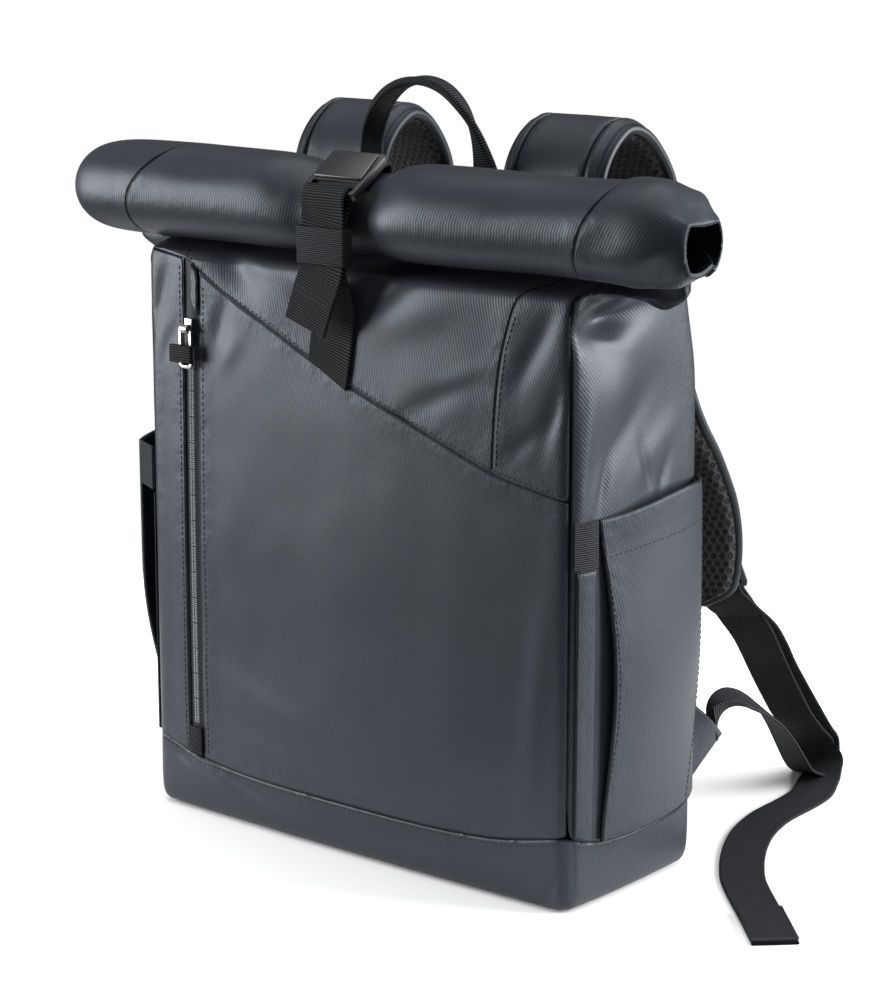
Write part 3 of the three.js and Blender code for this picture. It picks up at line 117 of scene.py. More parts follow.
# %% Signals
class Signal:
    """A socket whose operators add Math nodes."""

    def __init__(self, finish, socket):
        self.finish = finish
        self.socket = socket

    def maths(self, operation, *others):
        return self.finish.node("ShaderNodeMath", {"operation": operation}, [self, *others])

    def __add__(self, other):
        return self.maths("ADD", other)

    def __sub__(self, other):
        return self.maths("SUBTRACT", other)

    def __rsub__(self, other):
        return self.finish.node("ShaderNodeMath", {"operation": "SUBTRACT"}, [other, self])

    def __mul__(self, other):
        return self.maths("MULTIPLY", other)

    __radd__ = __add__
    __rmul__ = __mul__

    def wave(self, pitch):
        """A wave from -1 to 1 that repeats at a pitch."""
        return (self * (2 * math.pi / pitch)).maths("SINE")

    def rise(self, low, high):
        """0 below low, 1 above high and smooth between."""
        settings = {"interpolation_type": "SMOOTHSTEP"}
        return self.finish.node("ShaderNodeMapRange", settings, {0: self, 1: low, 2: high})


# %% Finishes
class Finish:
    """A material with one principled shader."""

    def __init__(self, name, roughness, metallic=0.0):
        self.material = bpy.data.materials.new(name)
        self.material.use_nodes = True
        self.tree = self.material.node_tree
        self.shader = self.tree.nodes["Principled BSDF"]
        self.shader.inputs["Roughness"].default_value = roughness
        self.shader.inputs["Metallic"].default_value = metallic

    def node(self, kind, settings=None, sockets=None, output=0):
        """Adds a node, sets it, fills its sockets with values or signals, and gives its output."""
        made = self.tree.nodes.new(kind)
        for key, value in (settings or {}).items():
            setattr(made, key, value)
        pairs = sockets.items() if isinstance(sockets, dict) else enumerate(sockets or [])
        for key, value in pairs:
            if isinstance(value, Signal):
                self.tree.links.new(value.socket, made.inputs[key])
            else:
                made.inputs[key].default_value = value
        return Signal(self, made.outputs[output])

    def grain(self):
        """Where a point lies on the cloth, in metres across and along its threads."""
        grain_map = self.node("ShaderNodeUVMap", {"uv_map": "grain"})
        across = self.node("ShaderNodeSeparateXYZ", None, [grain_map])
        return across, Signal(self, across.socket.node.outputs[1])

    def attribute(self, name):
        return self.node("ShaderNodeAttribute", {"attribute_name": name}, output=2)

    def noise(self, scale, detail=2.0):
        """Noise from 0 to 1 in the object's own space."""
        place = self.node("ShaderNodeTexCoord", output=3)
        sockets = {"Vector": place, "Scale": scale, "Detail": detail}
        return self.node("ShaderNodeTexNoise", None, sockets)

    def blend(self, share, first, second):
        """A colour between two others."""
        settings = {"data_type": "RGBA"}
        colours = {6: first, 7: second}
        colours = {key: (*c, 1) if isinstance(c, tuple) else c for key, c in colours.items()}
        return self.node("ShaderNodeMix", settings, {0: share, **colours}, output=2)

    def paint(self, colour=None, roughness=None, height=None, alpha=None):
        """Links what changes over the surface to the shader; heights are in metres."""
        sockets = {"Base Color": colour, "Roughness": roughness, "Alpha": alpha}
        if height is not None:
            bump = {"Strength": 1.0, "Distance": 1.0, "Height": height}
            sockets["Normal"] = self.node("ShaderNodeBump", None, bump)
        for key, signal in sockets.items():
            if isinstance(signal, Signal):
                self.tree.links.new(signal.socket, self.shader.inputs[key])
        return self.material


# %% [markdown]
# The bag's cloth is a coated twill: a satin skin over fine ribs 1.75 mm apart that run almost
# upright. Along each panel's outline the cloth is turned under and sewn, so it dips at the seam
# and puckers beside it. The ribs could be modelled, but they are so low that a bump is enough.
# The finish also paints shade into the rib grooves and a dark shadow line into the seam groove.

# %% Coated cloth
CLOTH = (0.0225, 0.0252, 0.0312)
SATIN_TINT = (0.8, 0.9, 1.0, 1.0)
RIB_PITCH = 1.75 * MM
RIB_HEIGHT = 0.023 * MM
SATIN_LEVEL = 0.27
SKIN_HEIGHT = 0.02 * MM
TURNED_WIDTH = 1.4 * MM
TURNED_HEIGHT = 0.7 * MM
PUCKER_START = 2.0 * MM
PUCKER_END = 16.0 * MM
# The next two shares darken the cloth's colour as painted shade: in the seam groove, and in the rib
# grooves.
SEAM_GROOVE_SHADOW = 0.12
RIB_GROOVE_SHADOW = 0.86


def shade(colour, share):
    """A colour made darker or paler."""
    return tuple(share * c for c in colour)


def coated_cloth(name, colour, roughness, pucker=0.35 * MM):
    cloth = Finish(name, roughness)
    cloth.shader.inputs["Specular IOR Level"].default_value = SATIN_LEVEL
    cloth.shader.inputs["Specular Tint"].default_value = SATIN_TINT
    across, _ = cloth.grain()
    ribs = across.wave(RIB_PITCH)
    mottle = cloth.noise(26.0, 3.0)
    leather = cloth.noise(900.0, 2.0)
    rim = cloth.attribute("rim")
    turned = rim.rise(0.0, TURNED_WIDTH)
    puckers = (1 - rim.rise(PUCKER_START, PUCKER_END)) * cloth.noise(95.0, 2.0)
    height = ribs * RIB_HEIGHT + leather * SKIN_HEIGHT + turned * TURNED_HEIGHT
    height = height + puckers * (2.0 * pucker)
    body = cloth.blend(mottle, shade(colour, 0.9), shade(colour, 1.1))
    # Painted shade: the rib grooves are coloured darker than the rib tops.
    body = cloth.blend(ribs.rise(-1.0, 0.2), shade(colour, RIB_GROOVE_SHADOW), body)
    # Painted shadow: within a millimetre of the outline the colour goes almost black, as the shade in
    # the seam groove.
    seen = cloth.blend(1 - rim.rise(0.2 * MM, 1.0 * MM), body, shade(colour, SEAM_GROOVE_SHADOW))
    gloss = ribs * 0.035 + mottle * 0.08 + (roughness - 0.04)
    return cloth.paint(seen, gloss, height)


cloth_finish = coated_cloth("coated_cloth", CLOTH, 0.42)
print("cloth finish made")

# %% [markdown]
# Webbing is woven with thick cross threads, so it shows a rib every 1.4 mm across its width and
# finer lines along it. Elastic has the same build with closer ribs. The rib tops are painted
# paler, as lit, and the grooves darker, as shaded.

# %% Webbing, elastic and thread
WEBBING = (0.0048, 0.0052, 0.006)
ELASTIC = (0.0065, 0.007, 0.008)
THREAD_PITCH = 0.9 * MM
FUZZ_HEIGHT = 0.04 * MM


def woven(name, colour, pitch, depth, roughness=0.7):
    band = Finish(name, roughness)
    band.shader.inputs["Specular IOR Level"].default_value = 0.1
    across, along = band.grain()
    ribs = along.wave(pitch)
    threads = (across + along * 0.5).wave(THREAD_PITCH)
    fuzz = band.noise(1400.0, 2.0)
    height = ribs * depth + threads * (depth * 0.35) + fuzz * FUZZ_HEIGHT
    # Painted light and shade: the rib tops are coloured paler as lit, and the grooves darker as
    # shaded.
    seen = band.blend(ribs.rise(-0.2, 1.0), shade(colour, 0.15), shade(colour, 7.5))
    return band.paint(seen, fuzz * 0.15 + (roughness - 0.07), height)


webbing_finish = woven("black_webbing", WEBBING, 1.4 * MM, 0.12 * MM)
elastic_finish = woven("black_elastic", ELASTIC, 1.15 * MM, 0.08 * MM)


def thread_finish():
    thread = Finish("dark_thread", 0.7)
    strand = thread.noise(2500.0, 1.0)
    seen = thread.blend(strand, (0.003, 0.0032, 0.0036), (0.009, 0.0095, 0.0105))
    return thread.paint(seen, None, strand * (0.05 * MM))


thread_cover = thread_finish()
print("webbing, elastic and thread finishes made")

# %% [markdown]
# The straps' inner face is a spacer mesh: black, with rows of round holes staggered like a
# honeycomb. The holes repeat evenly, so the finish makes them from the distance to the nearest
# of two grids. The piping round the straps is the same satin cloth, pulled tight over a cord; its
# colour is painted darker, at a third of the cloth's, as shade.

# %% Spacer mesh and piping
HOLE_PITCH = 4.8 * MM


def spacer_mesh():
    mesh = Finish("spacer_mesh", 0.75)
    mesh.shader.inputs["Specular IOR Level"].default_value = 0.3
    across, along = mesh.grain()
    row_pitch = HOLE_PITCH * math.sqrt(3)

    def nearest(shift):
        """The squared distance to the nearest hole of one grid, in pitches."""
        aside = (across * (1 / HOLE_PITCH) + shift).maths("FRACT") - 0.5
        ahead = ((along * (1 / row_pitch) + shift).maths("FRACT") - 0.5) * math.sqrt(3)
        return aside * aside + ahead * ahead

    near = nearest(0.0).maths("MINIMUM", nearest(0.5))
    wall = near.rise(0.07, 0.17)
    knit = across.wave(0.55 * MM) * along.wave(0.7 * MM)
    height = wall * (1.1 * MM) + knit * (0.04 * MM)
    # Painted light and shade: the holes are coloured almost black for the shade in them, and the walls
    # paler for the light they catch.
    seen = mesh.blend(wall, (0.0015, 0.0015, 0.0018), (0.02, 0.0205, 0.023))
    return mesh.paint(seen, None, height)


mesh_finish = spacer_mesh()
# Painted shade: the piping is the cloth's finish at a third of its colour.
shaded_piping_finish = coated_cloth("piping_cloth", shade(CLOTH, 0.3), 0.46, 0.0)
print("mesh and piping finishes made")

# %% [markdown]
# The hard parts are matte moulded plastic with a fine grain, and bright nickel for the slider. The
# zip's tape is woven more finely than the webbing, and its coil is a paler plastic.


# %% Plastic, nickel and zip
def moulded_plastic():
    plastic = Finish("matte_plastic", 0.4)
    grain = plastic.noise(1600.0, 2.0)
    seen = plastic.blend(grain, (0.009, 0.009, 0.0105), (0.014, 0.014, 0.016))
    return plastic.paint(seen, grain * 0.12 + 0.34, grain * (0.02 * MM))


def bright_nickel():
    nickel = Finish("bright_nickel", 0.3, 1.0)
    brushed = nickel.noise(700.0, 2.0)
    seen = nickel.blend(brushed, (0.36, 0.37, 0.38), (0.5, 0.51, 0.52))
    return nickel.paint(seen, brushed * 0.12 + 0.26)


plastic_finish = moulded_plastic()
nickel_finish = bright_nickel()
zip_finish = woven("zip_tape", (0.008, 0.0088, 0.0103), 0.8 * MM, 0.03 * MM, 0.5)


def coil_finish():
    coil = Finish("zip_coil", 0.4)
    tone = coil.noise(900.0, 1.0)
    return coil.paint(coil.blend(tone, (0.14, 0.15, 0.165), (0.24, 0.25, 0.27)))


coil_cover = coil_finish()
print("finishes made:", len(bpy.data.materials))

# %% [markdown]
# Every cloth panel starts as a copy of its solid: the loose triangles are merged and paired into
# squares, the outline is kept sharp, and a subdivision surface rounds the rest. A new mesh could
# be drawn instead, but a copy is sure to lie where the bag's form says. The original solid is
# then hidden, because the dressed piece stands for it.


# %% Copying a solid
def pick(piece):
    """Makes a piece the only one that operators act on."""
    bpy.ops.object.select_all(action="DESELECT")
    piece.select_set(True)
    bpy.context.view_layer.objects.active = piece


def read(rows, name, width=1, kind=np.float32):
    """A value, or a few, of every row of a mesh's data."""
    flat = np.zeros(len(rows) * width, kind)
    rows.foreach_get(name, flat)
    return flat.reshape(-1, width) if width > 1 else flat


def copy_of(node, name):
    """A merged copy of a solid, its sharp edges marked by their crease."""
    piece = bpy.data.objects.new(name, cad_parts[node].data.copy())
    piece.data.name = name
    bpy.context.collection.objects.link(piece)
    pick(piece)
    bpy.ops.mesh.customdata_custom_splitnormals_clear()
    bpy.ops.object.mode_set(mode="EDIT")
    bpy.ops.mesh.select_all(action="SELECT")
    bpy.ops.mesh.remove_doubles(threshold=JOIN_DISTANCE)
    bpy.ops.mesh.tris_convert_to_quads(face_threshold=math.pi, shape_threshold=math.pi)
    bpy.ops.mesh.select_all(action="DESELECT")
    bpy.ops.mesh.select_mode(type="EDGE")
    bpy.ops.mesh.edges_select_sharp(sharpness=RIM_ANGLE)
    bpy.ops.object.mode_set(mode="OBJECT")
    sharp = read(piece.data.edges, "select", kind=bool)
    crease = piece.data.attributes.new("crease_edge", "FLOAT", "EDGE")
    crease.data.foreach_set("value", sharp.astype(np.float32))
    return piece


def apply_modifier(piece, kind, **settings):
    """Adds a modifier with its settings and applies it."""
    pick(piece)
    modifier = piece.modifiers.new(kind.lower(), kind)
    for key, value in settings.items():
        setattr(modifier, key, value)
    bpy.ops.object.modifier_apply(modifier=modifier.name)
    return piece


def points_of(piece):
    """A piece's points as rows of three numbers."""
    return read(piece.data.vertices, "co", 3).astype(float)


def move_points(piece, points):
    piece.data.vertices.foreach_set("co", points.astype(np.float32).ravel())
    piece.data.update()


def smooth(piece, degrees):
    """Smooth shading, but for edges that turn by more than an angle."""
    pick(piece)
    bpy.ops.object.shade_smooth_by_angle(angle=math.radians(degrees))


def wear(piece, slot, finish, *nodes, body=BAG):
    """Gives a piece its finish and its body, and hides the solids that it stands for; slot is not
    used.
    """
    piece.data.materials.clear()
    piece.data.materials.append(finish)
    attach(piece, body)
    if nodes:
        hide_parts(*nodes)
    return piece


# %% [markdown]
# The twill's direction is stored in a UV map called grain, in real metres, so that the ribs keep
# their size. A flat panel takes the two axes that it faces, and the roll is unrolled round its
# middle.

# %% Laying the grain
ROLL_MIDDLE = (-41 * MM, 359.5 * MM)
ROLL_RADIUS = 28 * MM


def corner_data(piece):
    """For each face corner: its point, and its face's centre and normal."""
    mesh = piece.data
    corner_points = read(mesh.loops, "vertex_index", kind=np.int32)
    sizes = read(mesh.polygons, "loop_total", kind=np.int32)
    face_of = np.repeat(np.arange(len(mesh.polygons)), sizes)
    centres, normals = (read(mesh.polygons, name, 3)[face_of] for name in ("center", "normal"))
    return points_of(piece)[corner_points], centres, normals


def store_grain(piece, across, along, turn):
    """Turns the two coordinates and keeps them as the piece's UV map."""
    layer = piece.data.uv_layers.get("grain") or piece.data.uv_layers.new(name="grain")
    cosine, sine = math.cos(math.radians(turn)), math.sin(math.radians(turn))
    turned = np.stack([across * cosine + along * sine, along * cosine - across * sine], 1)
    layer.data.foreach_set("uv", turned.astype(np.float32).ravel())


def lay_flat_grain(piece, turn):
    points, _, normals = corner_data(piece)
    facing = np.abs(normals).argmax(1)
    across = np.where(facing == 0, points[:, 1], points[:, 0])
    along = np.where(facing == 2, points[:, 1], points[:, 2])
    store_grain(piece, across, along, turn)


def lay_rolled_grain(piece, turn):
    points, centres, _ = corner_data(piece)

    def angle_of(places):
        return np.arctan2(places[:, 2] - ROLL_MIDDLE[1], places[:, 1] - ROLL_MIDDLE[0])

    middle = angle_of(centres)
    angle = angle_of(points)
    angle += 2 * math.pi * np.round((middle - angle) / (2 * math.pi))
    store_grain(piece, points[:, 0], angle * ROLL_RADIUS, turn)


# %% [markdown]
# A panel also stores how far each point is from the panel's outline, for the turned edge, the
# puckers and the painted seam shadow of its finish. The outline is walked in short steps and
# searched from every point.


# %% Distance to the outline
def mark_rim(piece, spacing=0.7 * MM):
    """Keeps each point's distance to the nearest sharp edge as the attribute rim."""
    mesh = bmesh.new()
    mesh.from_mesh(piece.data)
    places = []
    for edge in mesh.edges:
        if len(edge.link_faces) == 2 and edge.calc_face_angle(0) < RIM_ANGLE * 0.8:
            continue
        first, last = (vertex.co for vertex in edge.verts)
        steps = max(int((last - first).length / spacing), 1)
        places += [first.lerp(last, i / steps) for i in range(steps)]
    tree = kdtree.KDTree(max(len(places), 1))
    for i, place in enumerate(places):
        tree.insert(place, i)
    tree.balance()
    far = [tree.find(vertex.co)[2] if places else 1.0 for vertex in mesh.verts]
    mesh.free()
    rim = piece.data.attributes.get("rim") or piece.data.attributes.new("rim", "FLOAT", "POINT")
    rim.data.foreach_set("value", np.array(far, np.float32))


# %% [markdown]
# Soft goods are never quite even. Each fold is a row of a table: where it is, the way that it
# runs, how long and wide it is, and how far it stands out, or in where that is negative, all in
# millimetres. A slow noise adds the slight unevenness of cloth that nothing stretches. A cloth
# simulation would crease the panels too, but not where this bag has its folds.


# %% Folds
SLOW_SCALE = 14.0
FINE_SCALE = 43.4


def unit(rows):
    """Directions, each scaled to a length of one."""
    return rows / np.linalg.norm(rows, axis=-1, keepdims=True)


def press_folds(piece, push, folds, waviness):
    """Moves a panel's points along push by its folds and by slow noise."""
    points = points_of(piece)
    push = np.array(push, float)
    rise = np.zeros(len(points))
    for at, along, length, width, depth in folds:
        along = unit(along - push * push.dot(along))
        offset = points / MM - np.array(at, float)
        offset -= np.outer(offset @ push, push)
        down = offset @ along / length
        aside = offset @ np.cross(push, along) / width
        rise += depth * np.exp(-(down**2) - aside**2)
    for scale, share in ((SLOW_SCALE, 1.0), (FINE_SCALE, 0.35)):
        rise += waviness * share * np.array([noise.noise(Vector(point) * scale) for point in points])
    move_points(piece, points + np.outer(rise * MM, push))


def ease(values, low, high):
    """0 below low, 1 above high and smooth between, for an array."""
    share = np.clip((values - low) / (high - low), 0, 1)
    return share * share * (3 - 2 * share)


# %% Cloth pieces
LEVELS = 3


def cloth_piece(
    node,
    name,
    turn,
    push,
    folds=(),
    waviness=0.5,
    shape=None,
    lay=lay_flat_grain,
    slot="cloth",
    finish=cloth_finish,
):
    """A dressed panel in place of a solid; shape is a function that moves its points, in mm."""
    piece = copy_of(node, name)
    apply_modifier(piece, "SUBSURF", levels=LEVELS, render_levels=LEVELS)
    if shape:
        move_points(piece, shape(points_of(piece) / MM) * MM)
    press_folds(piece, push, folds, waviness)
    lay(piece, turn)
    mark_rim(piece)
    smooth(piece, 50)
    return wear(piece, slot, finish, node)


# %% [markdown]
# The body's panels. The front is nearly smooth, the panels under the roll are pulled into slanting
# folds, and the gussets dent where the roll pinches them.

# %% Folds of the body
BASE_FOLDS = [
    ((151.5, -57, 20), (0, 0, 1), 30, 1.1, -1.3),
    ((-128, -58, 33), (0.9, 0, -0.4), 16, 4, -1.8),
    ((-104, -58, 28), (0.95, 0, -0.3), 22, 4, 1.4),
    ((-70, -60, 24), (0.97, 0, -0.2), 26, 4, -1.2),
    ((142, -57, 14), (0.6, 0, 0.8), 9, 3, -1.0),
    ((40, -60, 20), (1, 0, 0.08), 50, 6, -0.8),
]
UPPER_FOLDS = [
    ((-84, -58, 325), (0.78, 0, -0.62), 24, 10, -5.6),
    ((-68, -58, 312), (0.8, 0, -0.6), 24, 9, 1.6),
    ((31, -58, 324), (0.8, 0, 0.6), 30, 9, -4.2),
    ((48, -58, 309), (0.93, 0, 0.36), 34, 11, 1.4),
    ((66, -58, 268), (0.88, 0, 0.47), 30, 6, -1.3),
    ((84, -58, 281), (0.9, 0, 0.42), 22, 5, 0.9),
    ((-30, -58, 306), (0.7, 0, -0.7), 14, 5, -1.2),
]
UPPER_SIDE_FOLDS = [
    ((128, -58, 300), (0.5, 0, 0.86), 26, 6, -1.8),
    ((140, -58, 268), (0.3, 0, 0.95), 22, 5, -1.5),
    ((124, -58, 252), (0.8, 0, 0.6), 14, 4, -1.0),
]
GUSSET_FOLDS = [
    ((152, -25, 313), (0, 1, 0.14), 24, 8, -8.0),
    ((152, -20, 327), (0, 1, 0.2), 24, 4, 3.2),
    ((152, -30, 304), (0, 0.9, -0.3), 14, 4, 1.4),
    ((152, -16, 255), (0, 0.72, 0.6), 28, 9, -2.0),
    ((152, 10, 240), (0, 0.8, 0.5), 22, 8, 1.2),
    ((152, -33, 228), (0, 0.34, 0.94), 15, 3, -1.5),
    ((152, 4, 232), (0, -0.3, 0.95), 13, 3, -1.3),
    ((152, 20, 226), (0, 0.5, 0.86), 11, 3, -1.1),
    ((152, -46, 250), (0, 0.1, 1), 34, 5, 1.2),
]
FRONT_FOLDS = [
    ((-92, -60, 292), (0.25, 0, 0.97), 16, 5, -1.6),
    ((-84, -60, 276), (0.6, 0, 0.8), 14, 6, 0.9),
    ((-60, -60, 76), (0.95, 0, -0.3), 46, 9, 1.3),
    ((-40, -60, 56), (0.97, 0, -0.22), 56, 6, -1.2),
    ((80, -60, 60), (0.98, 0, 0.1), 50, 8, -1.0),
    ((132, -60, 120), (0.1, 0, 1), 60, 7, 0.9),
]
LEFT_STRIP_FOLDS = [
    ((-140, -58, 300), (0.3, 0, 0.95), 24, 5, -1.4),
    ((-130, -58, 280), (0.5, 0, 0.86), 14, 4, -0.8),
]


def mirrored(folds):
    """The same folds on the bag's other side."""
    return [((-at[0], *at[1:]), (-along[0], *along[1:]), *size) for at, along, *size in folds]


# %% Body panels
FRONTWARD = (0, -1, 0)
BACKWARD = (0, 1, 0)
EAR = (186, -20)
EAR_DROP = 8


def droop_ear(points):
    """The gusset's folded corner hangs a little from under the roll."""
    x = np.abs(points[:, 0])
    near = np.exp(-(((x - EAR[0]) / 11) ** 2) - ((points[:, 1] - EAR[1]) / 9) ** 2)
    points[:, 2] -= EAR_DROP * near * ease(x, 158, 176)
    return points


body_panels = [
    cloth_piece("base_panel", "base_cloth", 14, FRONTWARD, BASE_FOLDS, 0.35),
    cloth_piece("front_panel_left", "front_left_cloth", 8, FRONTWARD, LEFT_STRIP_FOLDS),
    cloth_piece("front_panel_main", "front_main_cloth", 14, FRONTWARD, FRONT_FOLDS, 0.7),
    cloth_piece("front_upper_panel", "front_upper_cloth", 14, FRONTWARD, UPPER_FOLDS),
    cloth_piece("front_upper_side_panel", "front_upper_side_cloth", 24, FRONTWARD, UPPER_SIDE_FOLDS),
    cloth_piece("back_extension", "back_extension_cloth", 12, BACKWARD),
]
for word, sign in SIDES:
    names = f"side_panel_{word}", f"side_{word}_cloth"
    folds = GUSSET_FOLDS if sign > 0 else mirrored(GUSSET_FOLDS)
    body_panels.append(cloth_piece(*names, sign * 38, (sign, 0, 0), folds, shape=droop_ear))
print("body panels:", sum(len(piece.data.polygons) for piece in body_panels), "faces")

# %% [markdown]
# The roll is the bag's long mouth, rolled up 1.6 turns. It is three pieces of cloth sewn end to
# end. Its open end isn't a round hole: the outer turn laps over its own edge, and the upper lip
# folds down.

# %% The roll's measures
ROLL_SEAM = 156
SEAM_BLEND = 36
MOUTH_START, MOUTH_END = 190, 219
MOUTH_WIDENING = [(198, 1.5), (212.7, 1.21), (219, 1.0)]
OUTER_SHARE = 0.86
CROWN_DROOP = 0.16
LIP_START = 203
LIP_LEVEL = 13
LIP_FOLD = 0.9
LAP_TURN = 30
LAP_LIFT = 0.3
INNER_REACH = 14
OUTER_TURN = [(-180, 17), (-30, 17.5), (0, 16.7), (28, 17.3), (53, 19)]
OUTER_TURN += [(75, 20.3), (94, 20.8), (137, 18.3), (180, 17)]
ROLL_FOLDS = [
    ((34, -62, 375), (0, 0.6, 0.8), 13, 11, -1.8),
    ((-42, -62, 375), (0, 0.6, 0.8), 12, 8, -1.4),
    ((120, -60, 377), (0.9, 0.3, 0.3), 30, 8, -1.2),
    ((-110, -60, 377), (0.9, 0.3, -0.3), 30, 8, -1.0),
]
MOUTH_FOLDS = [
    ((203, -58, 346), (0.75, -0.3, 0.6), 13, 6, -5.0),
    ((196, -58, 340), (0.8, -0.3, 0.5), 16, 5, 2.2),
    ((178, -56, 372), (0.5, 0.5, 0.7), 16, 7, -1.8),
]
ROLL_OUT = (0, -0.75, -0.66)
CROWN_OUT = (0, -0.75, 0.66)


# %% Roll
def round_roll(points):
    """Each point's angle round the roll and its distance from the middle."""
    y, z = points[:, 1] - ROLL_MIDDLE[0] / MM, points[:, 2] - ROLL_MIDDLE[1] / MM
    return np.arctan2(z, y), np.hypot(y, z)


def bow_seams(points):
    """The roll's two seams bow outwards at its front."""
    angle, _ = round_roll(points)
    upright = np.sin(angle) ** 2
    for seam, least, most in ((-ROLL_SEAM, 3, 13), (ROLL_SEAM, 6, 3)):
        near = np.exp(-(((points[:, 0] - seam) / SEAM_BLEND) ** 2))
        points[:, 0] += (least + most * upright) * near
    return points


def droop_mouth(points):
    """The open end: its inner turn lies deeper in, and its upper lip folds down over the hole."""
    angle, reach = round_roll(points)
    turn = np.degrees(angle)
    outer = np.interp(turn, *zip(*OUTER_TURN))
    widening = np.interp(points[:, 0], *zip(*MOUTH_WIDENING))
    outside = reach >= OUTER_SHARE * outer * widening
    inside = ~outside & ((turn > -60) | (turn < -150))
    share = np.where(turn < -150, 1.0, ease(turn, -60, 10)) * inside
    end = ease(points[:, 0], MOUTH_START, MOUTH_END)
    lip = ease(points[:, 0], LIP_START, MOUTH_END)
    lap = outside * (turn > -36) * (1 - ease(turn, -30, 12)) * end
    angle = np.radians(turn - LAP_TURN * lap)
    reach += LAP_LIFT * lap
    points[:, 1] = ROLL_MIDDLE[0] / MM + reach * np.cos(angle)
    points[:, 2] = ROLL_MIDDLE[1] / MM + reach * np.sin(angle)
    points[:, 0] -= INNER_REACH * end * share
    height = points[:, 2] - ROLL_MIDDLE[1] / MM
    points[:, 2] -= np.maximum(height, 0) * CROWN_DROOP * end
    level = outer * np.sin(angle)
    points[:, 2] -= LIP_FOLD * lip * outside * np.maximum(level - LIP_LEVEL, 0)
    points[:, 2] += LIP_FOLD * lip * np.maximum(-level - LIP_LEVEL, 0)
    return bow_seams(points)


middle = ("roll_top", "roll_cloth")
right, left = ((f"roll_end_{word}", f"roll_end_{word}_cloth") for word, _ in SIDES)
roll_pieces = [
    cloth_piece(*middle, 14, CROWN_OUT, ROLL_FOLDS, shape=bow_seams, lay=lay_rolled_grain),
    cloth_piece(*right, 28, ROLL_OUT, MOUTH_FOLDS, shape=droop_mouth, lay=lay_rolled_grain),
    cloth_piece(*left, 14, CROWN_OUT, shape=bow_seams, lay=lay_rolled_grain),
]
for piece, width in zip(roll_pieces, (312, 63, 51)):
    width * MM
print("roll:", sum(len(piece.data.polygons) for piece in roll_pieces), "faces")

# %% [markdown]
# The side pockets are flat pouches with a pleat at their front edge. They, the tabs that anchor
# the straps and the fold over the zip's top are cut from the bag's cloth and lie nearly flat, so
# a little unevenness is all that they need.

# %% Side pockets, anchors and zip cover
def paired(part, look, turn, waviness):
    """The same panel on both sides of the bag."""
    pieces = []
    for word, sign in SIDES:
        names = f"{part}_{word}", f"{look}_{word}_cloth"
        pieces.append(cloth_piece(*names, sign * turn, (sign, 0, 0), waviness=waviness))
    return pieces


pocket_pieces = paired("side_pocket", "pocket", 14, 0.2) + paired("pocket_pleat", "pleat", 14, 0.1)
pocket_pieces.append(cloth_piece("zip_garage", "zip_garage_cloth", 12, FRONTWARD, waviness=0.0))
pocket_pieces += paired("anchor_tab", "anchor", 30, 0.0)
print("pockets and tabs:", len(pocket_pieces))

# %% [markdown]
# The back panel is foam under spacer mesh, with a sewn channel on each side of the spine.

# %% Back panel
CHANNELS = [((side * 48, 62, 180), (0, 0, 1), 150, 5, -2.2) for side in (-1, 1)]
back_pad = cloth_piece(
    "back_panel", "back_pad", 0, BACKWARD, CHANNELS, 0.3, slot="padding", finish=mesh_finish
)
print("back pad:", len(back_pad.data.polygons), "faces")

# %% [markdown]
# Straps are strips swept along a route. The route is read back from the solid: its rings of points
# are followed from one end, and each gives the strip's middle, its width and the way that it
# faces. The solid's own mesh could be subdivided, but a sweep gives the webbing its real section
# and lets its ribs follow it.


# %% Reading a strip's route
def rings_of(node, sides, start):
    """The rings of points of a swept solid, in order from the end nearest to start."""
    mesh = bmesh.new()
    mesh.from_mesh(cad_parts[node].data)
    bmesh.ops.remove_doubles(mesh, verts=mesh.verts, dist=JOIN_DISTANCE)
    ends = [vertex for vertex in mesh.verts if len(vertex.link_edges) != 6]
    ends.sort(key=lambda vertex: (vertex.co - Vector(start) * MM).length)
    ring = ends[:sides]
    seen = set(ring)
    rings = []
    while ring:
        rings.append([tuple(vertex.co) for vertex in ring])
        found = dict.fromkeys(edge.other_vert(vertex) for vertex in ring for edge in vertex.link_edges)
        ring = [vertex for vertex in found if vertex not in seen]
        seen.update(ring)
    mesh.free()
    wrong = [len(ring) for ring in rings if len(ring) != sides]
    print(node, "has", len(rings), "rings", "with odd sizes" if wrong else "", wrong[:4])
    return np.array(rings)


def run_of(points):
    """The length so far at each of a row of points."""
    return np.concatenate([[0], np.cumsum(np.linalg.norm(np.diff(points, axis=0), axis=1))])


def smooth_through(places, values, at):
    """Values given at places along a route, read between them on a smooth line."""
    slopes = np.gradient(values, places, axis=0)
    i = np.clip(np.searchsorted(places, at, "right") - 1, 0, len(places) - 2)
    span = places[i + 1] - places[i]
    u = (at - places[i]) / span
    shape = (-1,) + (1,) * (values.ndim - 1)
    u, span = u.reshape(shape), span.reshape(shape)
    start, end = values[i], values[i + 1]
    ease = 2 * u**3 - 3 * u**2 + 1
    bend = (u**3 - 2 * u**2 + u) * span * slopes[i] + (u**3 - u**2) * span * slopes[i + 1]
    return ease * start + (1 - ease) * end + bend


